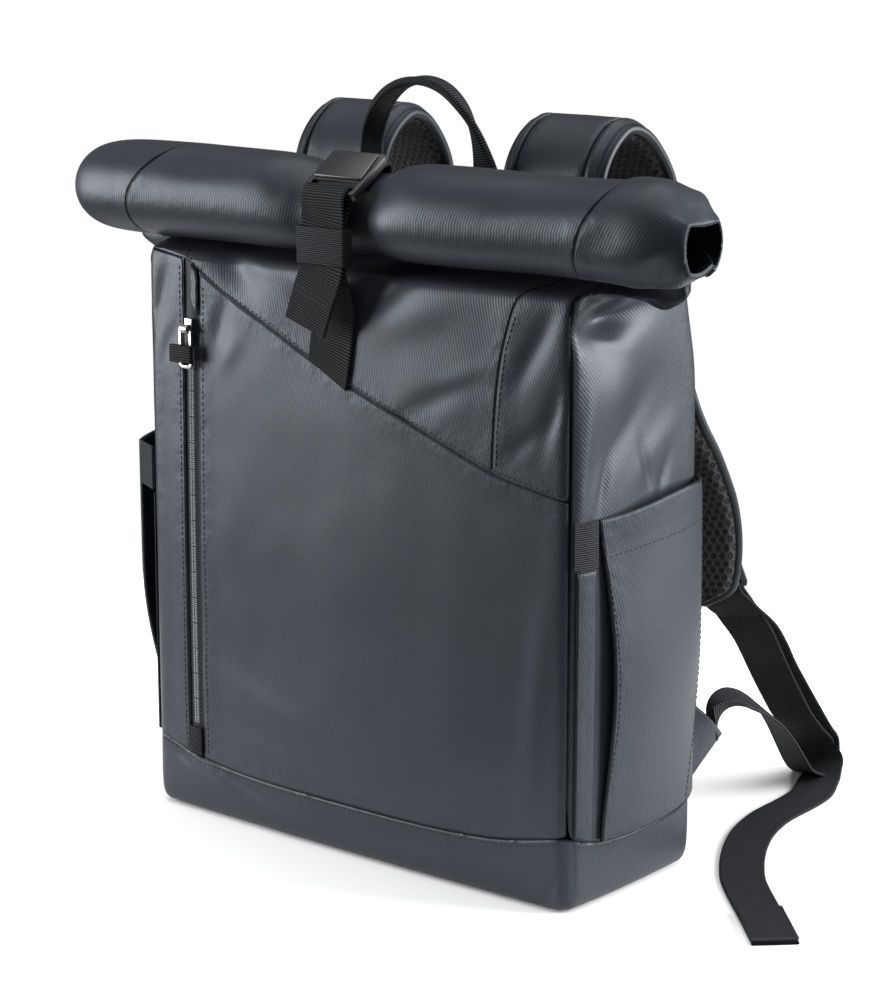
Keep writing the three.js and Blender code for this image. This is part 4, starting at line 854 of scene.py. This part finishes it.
# %% Routes
class Route:
    """Stations along a strip: middle, across, out of its face, half its width, and length so far."""

    def __init__(self, node, sides, start, step, out_first):
        rings = rings_of(node, sides, start)
        centre = rings.mean(1)
        across = np.zeros_like(centre)
        half = np.zeros(len(rings))
        for i, ring in enumerate(rings):
            axis = np.linalg.svd(ring - centre[i])[2][0]
            if i and axis.dot(across[i - 1]) < 0:
                axis = -axis
            across[i] = axis
            half[i] = np.abs((ring - centre[i]) @ axis).max()
        places = run_of(centre)
        count = max(int(places[-1] / step), 2)
        at = np.linspace(0, places[-1], count + 1)
        self.length = at
        self.centre = smooth_through(places, centre, at)
        self.across = smooth_through(places, across, at)
        self.half = smooth_through(places, half, at)
        self.ahead = unit(np.gradient(self.centre, at, axis=0))
        self.across = unit(self.across)
        self.out = unit(np.cross(self.ahead, self.across))
        if self.out[0].dot(out_first) < 0:
            self.out = -self.out

    def part(self, first, last):
        """The stretch of a route between two of its stations."""
        cut = Route.__new__(Route)
        for name, values in vars(self).items():
            setattr(cut, name, values[first:last])
        cut.length = cut.length - cut.length[0]
        return cut

    def measure(self):
        """Works out the length so far and the way ahead from the middles."""
        self.length = run_of(self.centre)
        self.ahead = unit(np.gradient(self.centre, self.length, axis=0))

    def soften(self, last, rounds):
        """Evens out the first stretch of a route, between its start and a station."""
        for _ in range(rounds):
            for row in (self.centre, self.across):
                row[1:last] = 0.5 * row[1:last] + 0.25 * (row[: last - 1] + row[2 : last + 1])
        self.measure()
        slip = self.ahead * (self.across * self.ahead).sum(1)[:, None]
        self.across = unit(self.across - slip)
        turned = np.cross(self.ahead, self.across)
        self.out = turned * np.sign((turned * self.out).sum(1))[:, None]

    def place(self, aside, lift):
        """Points beside and above the middle at every station, in metres."""
        return self.centre + self.across * aside[:, None] + self.out * lift


# %% [markdown]
# One function sweeps a section along such a route and closes it at both ends. The grain map takes
# the distance across and the distance along, so that woven ribs stay square to the strap.


# %% Sweeping a section
def mesh_piece(name, points, faces, corners=None):
    """A new piece from points and faces, turned outwards, with a grain map if it is given."""
    mesh = bpy.data.meshes.new(name)
    mesh.from_pydata(points.tolist(), [], faces)
    if corners is not None:
        layer = mesh.uv_layers.new(name="grain")
        layer.data.foreach_set("uv", np.asarray(corners, np.float32).ravel())
    mesh.update()
    piece = bpy.data.objects.new(name, mesh)
    bpy.context.collection.objects.link(piece)
    solid = bmesh.new()
    solid.from_mesh(mesh)
    if solid.calc_volume(signed=True) < 0:
        bmesh.ops.reverse_faces(solid, faces=solid.faces)
        solid.to_mesh(mesh)
    solid.free()
    return piece


# %% Closed strips
def sweep(name, route, sections):
    """A closed strip; sections has two numbers for each station and point of the outline."""
    stations, sides = sections.shape[:2]
    points = (
        route.centre[:, None]
        + route.across[:, None] * sections[:, :, :1]
        + route.out[:, None] * sections[:, :, 1:]
    ).reshape(-1, 3)
    faces = []
    corners = []
    girth = np.linalg.norm(np.diff(sections, axis=1, append=sections[:, :1]), axis=2).mean(0)
    round_it = np.concatenate([[0], np.cumsum(girth)])
    for i in range(stations - 1):
        low, high = route.length[i], route.length[i + 1]
        for j in range(sides):
            k = (j + 1) % sides
            faces.append((i * sides + j, i * sides + k, (i + 1) * sides + k, (i + 1) * sides + j))
            left, right = sections[i, j, 0], sections[i, k, 0]
            if abs(right - left) < 0.2 * girth[j]:
                left, right = round_it[j], round_it[j + 1]
            corners += [(left, low), (right, low), (right, high), (left, high)]
    for i in (0, stations - 1):
        faces.append(tuple(i * sides + j for j in range(sides)))
        corners += [(sections[i, j, 0], route.length[i]) for j in range(sides)]
    piece = mesh_piece(name, points, faces, corners)
    smooth(piece, 55)
    return piece


BAND_EDGE = [(0, 0.3), (0.4, 0.86), (1.3, 1.0), (2.3, 0.84)]
BAND_MIDDLE = [(0.5, 0.9), (0.0, 0.94), (-0.5, 0.9)]


def band_outline(half, thickness):
    """Webbing's section: a thin band with a slightly raised, rounded edge on each side."""
    edge = [(half - depth * MM, lift) for depth, lift in BAND_EDGE]
    top = edge + [(share * half, lift) for share, lift in BAND_MIDDLE]
    top += [(-aside, lift) for aside, lift in reversed(edge)]
    top = [(aside, lift * thickness / 2) for aside, lift in top]
    return top + [(aside, -lift) for aside, lift in reversed(top)]


WEB_THICKNESS = 1.8 * MM
STRAND_STEP = 1.5 * MM


# %% Bands of webbing
def swept_band(name, route, node):
    """A woven band along a route."""
    piece = sweep(name, route, np.array([band_outline(half, WEB_THICKNESS) for half in route.half]))
    return wear(piece, "webbing", webbing_finish, node)


def band(name, node, start, out_first, step=STRAND_STEP):
    """A woven band in place of a strip of webbing, and its route."""
    route = Route(node, 4, start, step, out_first)
    return swept_band(name, route, node), route


# %% [markdown]
# The loose straps come before the other webbing. Each lower strap starts at its anchor tab, rises
# through the glide and hangs down again as a loose tail, which ends in a folded hem on the floor.
# The strand up to the glide and the loose tail are swept as two pieces.

# %% Lower straps
EVEN_STATIONS = 100
EVEN_ROUNDS = 220
for word, sign in SIDES:
    node = f"strap_webbing_{word}"
    route = Route(node, 4, (sign * 149, 81, 74), STRAND_STEP, (0, 0, 1))
    crest = int(route.centre[:, 2].argmax())
    route.soften(EVEN_STATIONS, EVEN_ROUNDS)
    swept_band(f"strap_strand_{word}", route.part(0, crest + 1), node)
    loose = route.part(crest + 1, None)
    tail = swept_band(f"strap_tail_{word}", loose, node)
    hem_end = (sign * 150, 240, 0)
    hem, _ = band(f"tail_hem_{word}", f"strap_tail_hem_{word}", hem_end, (0, 0, 1), 2 * STRAND_STEP)

# %% [markdown]
# The closure strap is sewn into the diagonal seam, and its free end comes down through the keeper.
# A shorter strap comes over the roll from behind and holds the buckle.

# %% Closure straps
_, closure_route = band("closure_strap_lower", "closure_webbing_lower", (-10, -62, 266), (0, -1, 0))
band("closure_strap_upper", "closure_webbing_upper", (-4, 30, 336), (0, 1, 1))
print("closure strap", round(float(closure_route.length[-1]), 3), "m")

# %% [markdown]
# The carry handle is the same webbing, folded double and sewn between its flat feet, so it is half
# as wide and thicker in the hand.


# %% Carry handle
GRIP_HALF = 6.4 * MM
GRIP_THICKNESS = 4.6 * MM
FOOT_LENGTH = 24 * MM
FOLD_LENGTH = 30 * MM


def carry_handle():
    route = Route("grab_handle", 4, (-41, 15, 340), STRAND_STEP, (0, -1, 0))
    from_end = np.minimum(route.length, route.length[-1] - route.length)
    folded = ease(from_end, FOOT_LENGTH, FOOT_LENGTH + FOLD_LENGTH)
    half = route.half + (GRIP_HALF - route.half) * folded
    thick = WEB_THICKNESS + (GRIP_THICKNESS - WEB_THICKNESS) * folded
    sections = [band_outline(*size) for size in zip(half, thick)]
    piece = sweep("carry_handle", route, np.array(sections))
    print("handle", round(float(route.length[-1]), 3), "m")
    return wear(piece, "webbing", webbing_finish, "grab_handle")


carry_handle()

# %% [markdown]
# The shoulder straps are foam pads. The outer face is cloth with a sewn line 8 mm in from each
# edge, the inner face is spacer mesh, and a thick piping runs round the whole edge.

# %% Shoulder strap pads
PIPING_RADIUS = 3.1 * MM
PAD_DEPTHS = [0.0, 1.2, 2.6, 4.2, 5.8, 7.0, 7.7, 8.3, 9.0, 10.4, 13.0, 17.0]
PAD_SEAM = 8.0
PAD_EDGE = 2.2
PAD_CROWN = 3.6
CROWN_WIDTH = 5.5
GROOVE_DEPTH = 1.5


def pad_outline(half, face):
    """Half of a pad's section: its crowned face on one side and its flat middle on the other."""
    reach = half - PIPING_RADIUS
    scale = min(1.0, reach / (PAD_DEPTHS[-1] * 1.4 * MM))
    side = []
    for depth in PAD_DEPTHS:
        puff = 1 - (1 - min(depth / CROWN_WIDTH, 1.0)) ** 2
        groove = GROOVE_DEPTH * math.exp(-(((depth - PAD_SEAM) / 0.9) ** 2)) if face > 0 else 0.0
        side.append((reach - depth * scale * MM, (PAD_EDGE + PAD_CROWN * puff - groove) * MM))
    top = side + [(0.0, 5.95 * MM)] + [(-a, b) for a, b in reversed(side)]
    outline = [(a, face * b) for a, b in top]
    return outline + [(a, face * 0.1 * MM) for a in np.linspace(-reach, reach, 5)]


# %% Piping
PIPING_SIDES = 12


def tube(name, points, radius):
    """A round section along a line of points; it is carried on from point to point untwisted."""
    route = Route.__new__(Route)
    route.centre = points
    route.measure()
    across = np.array((0.0, 0.0, 1.0))
    rows = []
    for ahead in route.ahead:
        across = unit(across - ahead * across.dot(ahead))
        rows.append(across)
    route.across = np.array(rows)
    route.out = np.cross(route.ahead, route.across)
    turns = np.linspace(0, 2 * math.pi, PIPING_SIDES, endpoint=False)
    outline = np.stack([np.cos(turns), np.sin(turns)], 1) * radius
    return sweep(name, route, np.repeat(outline[None], len(rows), 0))


# %% Shoulder straps
pad_routes = {}
for word, sign in SIDES:
    node = f"shoulder_strap_{word}"
    route = Route(node, 8, (sign * 76, 35, 337), 2.5 * MM, (0, -1, 0.4))
    pad_routes[word] = route
    outer, inner = (np.array([pad_outline(half, face) for half in route.half]) for face in (1, -1))
    cover = sweep(f"strap_cover_{word}", route, outer)
    wear(cover, "padding", cloth_finish, node)
    lining = sweep(f"strap_mesh_{word}", route, inner)
    wear(lining, "padding", mesh_finish)
    edge = route.half - PIPING_RADIUS
    left, right = route.place(-edge, 0), route.place(edge, 0)
    loop = np.concatenate([left, right[::-1]])
    piping = tube(f"strap_piping_{word}", loop, PIPING_RADIUS)
    wear(piping, "padding", shaded_piping_finish)
    for piece in (cover, lining, piping):
        mark_rim(piece)
    print(f"shoulder strap {word} is {route.length[-1]:.3f} m long")

# %% [markdown]
# Elastic bands, tape, the small webbing tabs and the hard fittings keep their solids' form. Their
# edges are bevelled, because no real edge is quite sharp and a soft one catches the light.


# %% Small pieces
ZIP_RIGHT = -109.1
TAPE_SLANT = 0.74
CORNER = math.radians(40)


def reach_seam(points):
    """The tape's square top end runs up under the slanting seam above it."""
    points[:, 2] += ease(points[:, 2], 316, 318) * (ZIP_RIGHT - points[:, 0]) * TAPE_SLANT
    return points


def small_piece(
    node, name, slot, finish, bevel=0.0, segments=3, sharp=CORNER, levels=0, shape=None, body=BAG
):
    """A copy of a small solid with softened edges; the bevel is in mm."""
    piece = copy_of(node, name)
    if bevel:
        limit = {"limit_method": "ANGLE", "angle_limit": sharp}
        apply_modifier(piece, "BEVEL", width=bevel * MM, segments=segments, **limit)
    if levels:
        apply_modifier(piece, "SUBSURF", levels=levels, render_levels=levels)
    if shape:
        move_points(piece, shape(points_of(piece) / MM) * MM)
    lay_flat_grain(piece, 0)
    smooth(piece, 40)
    return wear(piece, slot, finish, node, body=body)


# %% Tape, tabs and elastic
small_piece("zip_tape", "zip_tape_cloth", "zip", zip_finish, levels=2, shape=reach_seam)
small_piece("zip_end_tab", "zip_end_webbing", "webbing", webbing_finish, 0.4, 2, RIM_ANGLE)
small_piece("strap_keeper", "keeper_elastic", "elastic", elastic_finish, 0.35, 2, RIM_ANGLE)
for word, _ in SIDES:
    small_piece(f"pocket_elastic_{word}", f"pocket_band_{word}", "elastic", elastic_finish, levels=3)
print("bands made")

# %% [markdown]
# Stitches are real: each is a short, thick thread lying on the cloth with its ends sunk in. They
# could be painted by the finish, but threads catch the light and stay in the mesh. A seam is a
# line drawn beside the bag and pressed onto the panels from outside.


# %% Pressing a line onto the cloth
def surface_of(pieces):
    """One tree of all the faces of some pieces, for pressing lines onto them."""
    points, faces = [], []
    for piece in pieces:
        shift = len(points)
        points += [vertex.co.copy() for vertex in piece.data.vertices]
        faces += [[shift + i for i in face.vertices] for face in piece.data.polygons]
    return BVHTree.FromPolygons(points, faces)


def spaced(line, pitch):
    """Points along a line at a pitch, in metres."""
    line = np.asarray(line, float)
    places = run_of(line)
    at = np.arange(0, places[-1], pitch)
    return np.stack([np.interp(at, places, line[:, k]) for k in range(3)], 1)


def press_line(surface, line, toward, spacing=0.6 * MM):
    """A line pressed onto a surface along a direction, with the surface's normals."""
    toward = Vector(toward).normalized()
    points, normals = [], []
    for place in spaced(line, spacing):
        hit, normal, _, _ = surface.ray_cast(Vector(place) - toward * 0.12, toward, 0.3)
        if hit is None:
            continue
        points.append(tuple(hit))
        normals.append(tuple(normal if normal.dot(toward) < 0 else -normal))
    return np.array(points), np.array(normals)


# %% Stitches
STITCH_SIDES = 5
STITCH_PROFILE = [(-0.5, 0.3, -0.7), (-0.34, 1.0, 0.45), (0.34, 1.0, 0.45), (0.5, 0.3, -0.7)]
FACES_EACH = (len(STITCH_PROFILE) - 1) * STITCH_SIDES + 2


def stitches(
    name,
    rows,
    pitch=3.4 * MM,
    length=2.5 * MM,
    radius=0.27 * MM,
    across=False,
    finish=thread_cover,
    slot="cloth",
):
    """Threads along rows of pressed points, all in one piece; across lays them like rungs."""
    all_points, faces = [], []
    turns = np.linspace(0, 2 * math.pi, STITCH_SIDES, endpoint=False)
    for points, normals in rows:
        if len(points) < 4:
            continue
        places = run_of(points)
        for at in np.arange(pitch, places[-1] - pitch / 2, pitch):
            i = int(np.searchsorted(places, at))
            j = min(i + 2, len(points) - 1)
            k = max(i - 2, 0)
            out = normals[i]
            ahead = points[j] - points[k]
            ahead = ahead - out * ahead.dot(out)
            ahead /= max(np.linalg.norm(ahead), 1e-9)
            aside = np.cross(out, ahead)
            if across:
                ahead, aside = aside, -ahead
            start = len(all_points)
            for reach, size, lift in STITCH_PROFILE:
                middle = points[i] + ahead * reach * length + out * lift * radius
                for turn in turns:
                    ring = aside * math.cos(turn) + out * math.sin(turn)
                    all_points.append(middle + ring * radius * size)
            for ring in range(len(STITCH_PROFILE) - 1):
                low = start + ring * STITCH_SIDES
                for side in range(STITCH_SIDES):
                    next_side = (side + 1) % STITCH_SIDES
                    high = low + STITCH_SIDES
                    faces.append((low + side, low + next_side, high + next_side, high + side))
            last = start + (len(STITCH_PROFILE) - 1) * STITCH_SIDES
            faces.append(tuple(range(start + STITCH_SIDES - 1, start - 1, -1)))
            faces.append(tuple(range(last, last + STITCH_SIDES)))
    piece = mesh_piece(name, np.array(all_points), faces)
    pick(piece)
    bpy.ops.object.shade_smooth()
    print(name, "has", len(faces) // FACES_EACH, "stitches")
    return wear(piece, slot, finish)


skin = surface_of(body_panels + roll_pieces + pocket_pieces)

# %% [markdown]
# Seams on the front: the diagonal one, the upright one at its right, the two beside the zip and
# the one above the base.

# %% Front seams
DIAGONAL = [(-147, 333), (-129, 330.5), (-99.6, 312), (-90, 306.5), (-52.2, 291.6)]
DIAGONAL += [(-27, 279), (3.9, 267), (67.3, 244.9), (102.7, 232), (147, 223.2)]
UPRIGHT = [(102.7, 234), (103.2, 255), (104.6, 275), (107.8, 298), (114.5, 319)]
WIDTH, DEPTH, BASE_HEIGHT = 304, 115, 44
FRONT_SAG, SIDE_SAG = 13, 9


def front_line(rows, lift=0.0, aside=0.0):
    return [((x + aside) * MM, 0.0, (z + lift) * MM) for x, z in rows]


def base_line(half, sag, lift):
    """The base seam seen square on, from one end of a side to the other."""
    places = np.linspace(-half + 4, half - 4, 40)
    return [(place, BASE_HEIGHT - sag * (1 - (place / half) ** 4) + lift) for place in places]


front_rows = [
    press_line(skin, front_line(DIAGONAL, 2.2), (0, 1, 0)),
    press_line(skin, front_line(UPRIGHT, 0, 2.2), (0, 1, 0)),
    press_line(skin, front_line([(-124.2, 40), (-124.2, 322)]), (0, 1, 0)),
    press_line(skin, front_line([(-105.8, 36), (-105.8, 313)]), (0, 1, 0)),
    press_line(skin, front_line(base_line(WIDTH / 2, FRONT_SAG, -2.4)), (0, 1, 0)),
]
stitches("front_stitches", front_rows)

# %% [markdown]
# The same on both sides: the base seam, the pocket's hem and its two edges. They are drawn in
# depth and height, out beyond the bag, and pressed inwards.

# %% Side seams and pocket hems
BESIDE = 0.16
POCKET_HEM = [(-35, 191.6), (0.8, 195.4), (41.7, 199.4), (50, 200.2)]
POCKET_FRONT = [(-38, 205), (-33.5, 185), (-30, 160), (-28, 130), (-28, 100), (-30, 75), (-34, 50)]
POCKET_BACK = [(47, 214), (47, 163.5), (47.4, 118.2), (47.2, 83), (44, 52), (42, 40)]
side_rows = []
for _, sign in SIDES:
    toward = (-sign, 0, 0)
    for line in (base_line(DEPTH / 2, SIDE_SAG, -2.4), POCKET_HEM, POCKET_BACK, POCKET_FRONT):
        beside = [(sign * BESIDE, y * MM, z * MM) for y, z in line]
        side_rows.append(press_line(skin, beside, toward))
stitches("side_stitches", side_rows)

# %% [markdown]
# Each shoulder strap has a row of stitches in the groove along each edge. The groove follows the
# strap's route, so nothing has to be pressed.

# %% Strap seams
SEAM_HEIGHT = 4.5 * MM
for word, route in pad_routes.items():
    keep = slice(4, -14)
    rows = []
    for side in (-1, 1):
        seam = route.place(side * (route.half - (PIPING_RADIUS + PAD_SEAM * MM)), SEAM_HEIGHT)
        rows.append((seam[keep], route.out[keep]))
    stitches(f"strap_stitches_{word}", rows, slot="padding")

# %% [markdown]
# The closure strap's free end is folded back and sewn down with two rows across it, which show on
# both of its faces.

# %% Stitches on the webbing
closure_end = len(closure_route.length) - 1


def across_band(route, index, lift, margin=2.0 * MM):
    """A line across a band at one of its stations."""
    reach = np.linspace(-1, 1, 30) * (route.half[index] - margin)
    points = route.centre[index] + route.across[index] * reach[:, None] + route.out[index] * lift
    return points, np.repeat(route.out[index][None], len(reach), 0)


webbing_rows = []
for back in (11, 13):
    for lift in (0.95 * MM, -0.95 * MM):
        webbing_rows.append(across_band(closure_route, closure_end - back, lift))
stitches("webbing_stitches", webbing_rows, 2.2 * MM, 1.8 * MM, slot="webbing")

# %% [markdown]
# The zip is a reversed coil: the tape's smooth side faces out and the coil shows as two rows of
# small teeth beside the middle.

# %% Zip coil
tape_surface = surface_of([bpy.data.objects["zip_tape_cloth"]])
coil_rows = []
for aside in (-1.05, 1.05):
    line = front_line([(-115 + aside, 54), (-115 + aside, 275)])
    coil_rows.append(press_line(tape_surface, line, (0, 1, 0)))
stitches("zip_coil", coil_rows, 1.25 * MM, 2.0 * MM, 0.42 * MM, True, coil_cover, "zip")

# %% [markdown]
# The buckle's frame is a solid of its own. The smooth plate over its upper bars is added here: a
# cube, drawn out and tapered in edit mode, with rounded edges.

# %% Buckle
small_piece("buckle_frame", "buckle", "plastic", plastic_finish, 0.7)
BUCKLE_MIDDLE = Vector((-2, -55.3, 378.9)) * MM
BUCKLE_UP = Vector((0, 0.829, 0.559))
BUCKLE_OUT = Vector((0, -0.559, 0.829))
PLATE_LIFT = 3.0


def buckle_plate(low=-5.5, high=15.5, wide=33, narrow=29, thick=1.8):
    """The smooth plate over the buckle's upper bars, wider at its foot."""
    bpy.ops.object.select_all(action="DESELECT")
    bpy.ops.mesh.primitive_cube_add(size=1)
    plate = bpy.context.active_object
    plate.name = "buckle_plate"
    bpy.ops.object.mode_set(mode="EDIT")
    bpy.ops.transform.resize(value=(wide * MM, (high - low) * MM, thick * MM))
    mesh = bmesh.from_edit_mesh(plate.data)
    for vertex in mesh.verts:
        if vertex.co.y > 0:
            vertex.co.x *= narrow / wide
    bmesh.update_edit_mesh(plate.data)
    bpy.ops.mesh.select_all(action="SELECT")
    bpy.ops.mesh.bevel(offset=0.8 * MM, segments=3, affect="EDGES")
    bpy.ops.object.mode_set(mode="OBJECT")
    middle = BUCKLE_MIDDLE + BUCKLE_UP * ((low + high) / 2 * MM) + BUCKLE_OUT * (PLATE_LIFT * MM)
    points = points_of(plate)
    basis = np.array([(1, 0, 0), tuple(BUCKLE_UP), tuple(BUCKLE_OUT)])
    move_points(plate, points @ basis + np.array(middle))
    smooth(plate, 40)
    return wear(plate, "plastic", plastic_finish)


print("buckle plate:", len(buckle_plate().data.polygons), "faces")

# %% [markdown]
# The glides, the slider and its pull are the last. The pull and its tab ride on their own body,
# because they swing on the slider.

# %% Glides, slider and pull
for word, _ in SIDES:
    small_piece(f"tri_glide_{word}", f"glide_{word}", "plastic", plastic_finish, 0.6)
small_piece("zip_slider", "slider", "steel", nickel_finish, 0.35)
small_piece("zip_pull", "pull_ring", "steel", nickel_finish, 0.3, body=PULL)
small_piece("zip_pull_tab", "pull_webbing", "webbing", webbing_finish, 0.5, body=PULL)
print("fittings made")

# %% [markdown]
# The bag stands on a white floor under soft light, as in a product photograph: one light from the
# front left, a stronger one from behind at the right, and an even one from above. The background
# is white to the camera alone, so that it doesn't wash out the dark cloth.

# %% Floor and lights
FLOOR_SIZE = 1.1
FLOOR_DEPTH = 0.72
FLOOR_BACK = 0.16
AMBIENT = 0.12
AIM = Vector((0, 0, 0.2))


def add_light(name, kind, place, power, **settings):
    """A soft light that looks at the bag's middle."""
    light = bpy.data.objects.new(name, bpy.data.lights.new(name, kind))
    light.data.energy = power
    for key, value in settings.items():
        setattr(light.data, key, value)
    light.location = place
    light.rotation_euler = (AIM - Vector(place)).to_track_quat("-Z", "Y").to_euler()
    bpy.context.collection.objects.link(light)


def add_floor():
    bpy.ops.object.select_all(action="DESELECT")
    bpy.ops.mesh.primitive_plane_add(size=FLOOR_SIZE)
    floor = bpy.context.active_object
    floor.name = "floor"
    bpy.ops.object.mode_set(mode="EDIT")
    bpy.ops.transform.resize(value=(1, FLOOR_DEPTH, 1))
    bpy.ops.transform.translate(value=(0, FLOOR_BACK, 0))
    bpy.ops.object.mode_set(mode="OBJECT")
    pale = Finish("pale_floor", 0.8)
    cloudy = pale.noise(3.0, 1.0)
    pale.paint(pale.blend(cloudy, (0.86, 0.86, 0.86), (0.9, 0.9, 0.9)))
    floor.data.materials.append(pale.material)
    floor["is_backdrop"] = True


# %% Lighting the bag
add_floor()
add_light("left_light", "AREA", (-1.05, -0.78, 0.42), 27, size=0.8)
add_light("right_light", "AREA", (1.5, 1.1, 0.7), 92, size=1.2)
add_light("top_light", "SUN", (0, 0, 2), 3.0, angle=math.radians(70))
world = bpy.data.worlds.new("studio")
world.use_nodes = True
sky = world.node_tree
seen_sky = sky.nodes.new("ShaderNodeLightPath")
brightness = sky.nodes.new("ShaderNodeMapRange")
brightness.inputs["To Min"].default_value = AMBIENT
brightness.inputs["To Max"].default_value = 1.0
sky.links.new(seen_sky.outputs["Is Camera Ray"], brightness.inputs["Value"])
sky.links.new(brightness.outputs["Result"], sky.nodes["Background"].inputs["Strength"])
sky.nodes["Background"].inputs["Color"].default_value = (1, 1, 1, 1)
bpy.context.scene.world = world
bpy.context.scene.view_settings.view_transform = "Standard"

# %% [markdown]
# The dressed bag has to stay close to the box of its solids, so both boxes are kept and compared.

# %% Sizes
look_low, look_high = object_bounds()
growth = [round(float((look_high - look_low)[k] - (cad_high - cad_low)[k]) / MM, 1) for k in range(3)]
print("the dressed bag is wider, deeper and taller by", growth, "mm")
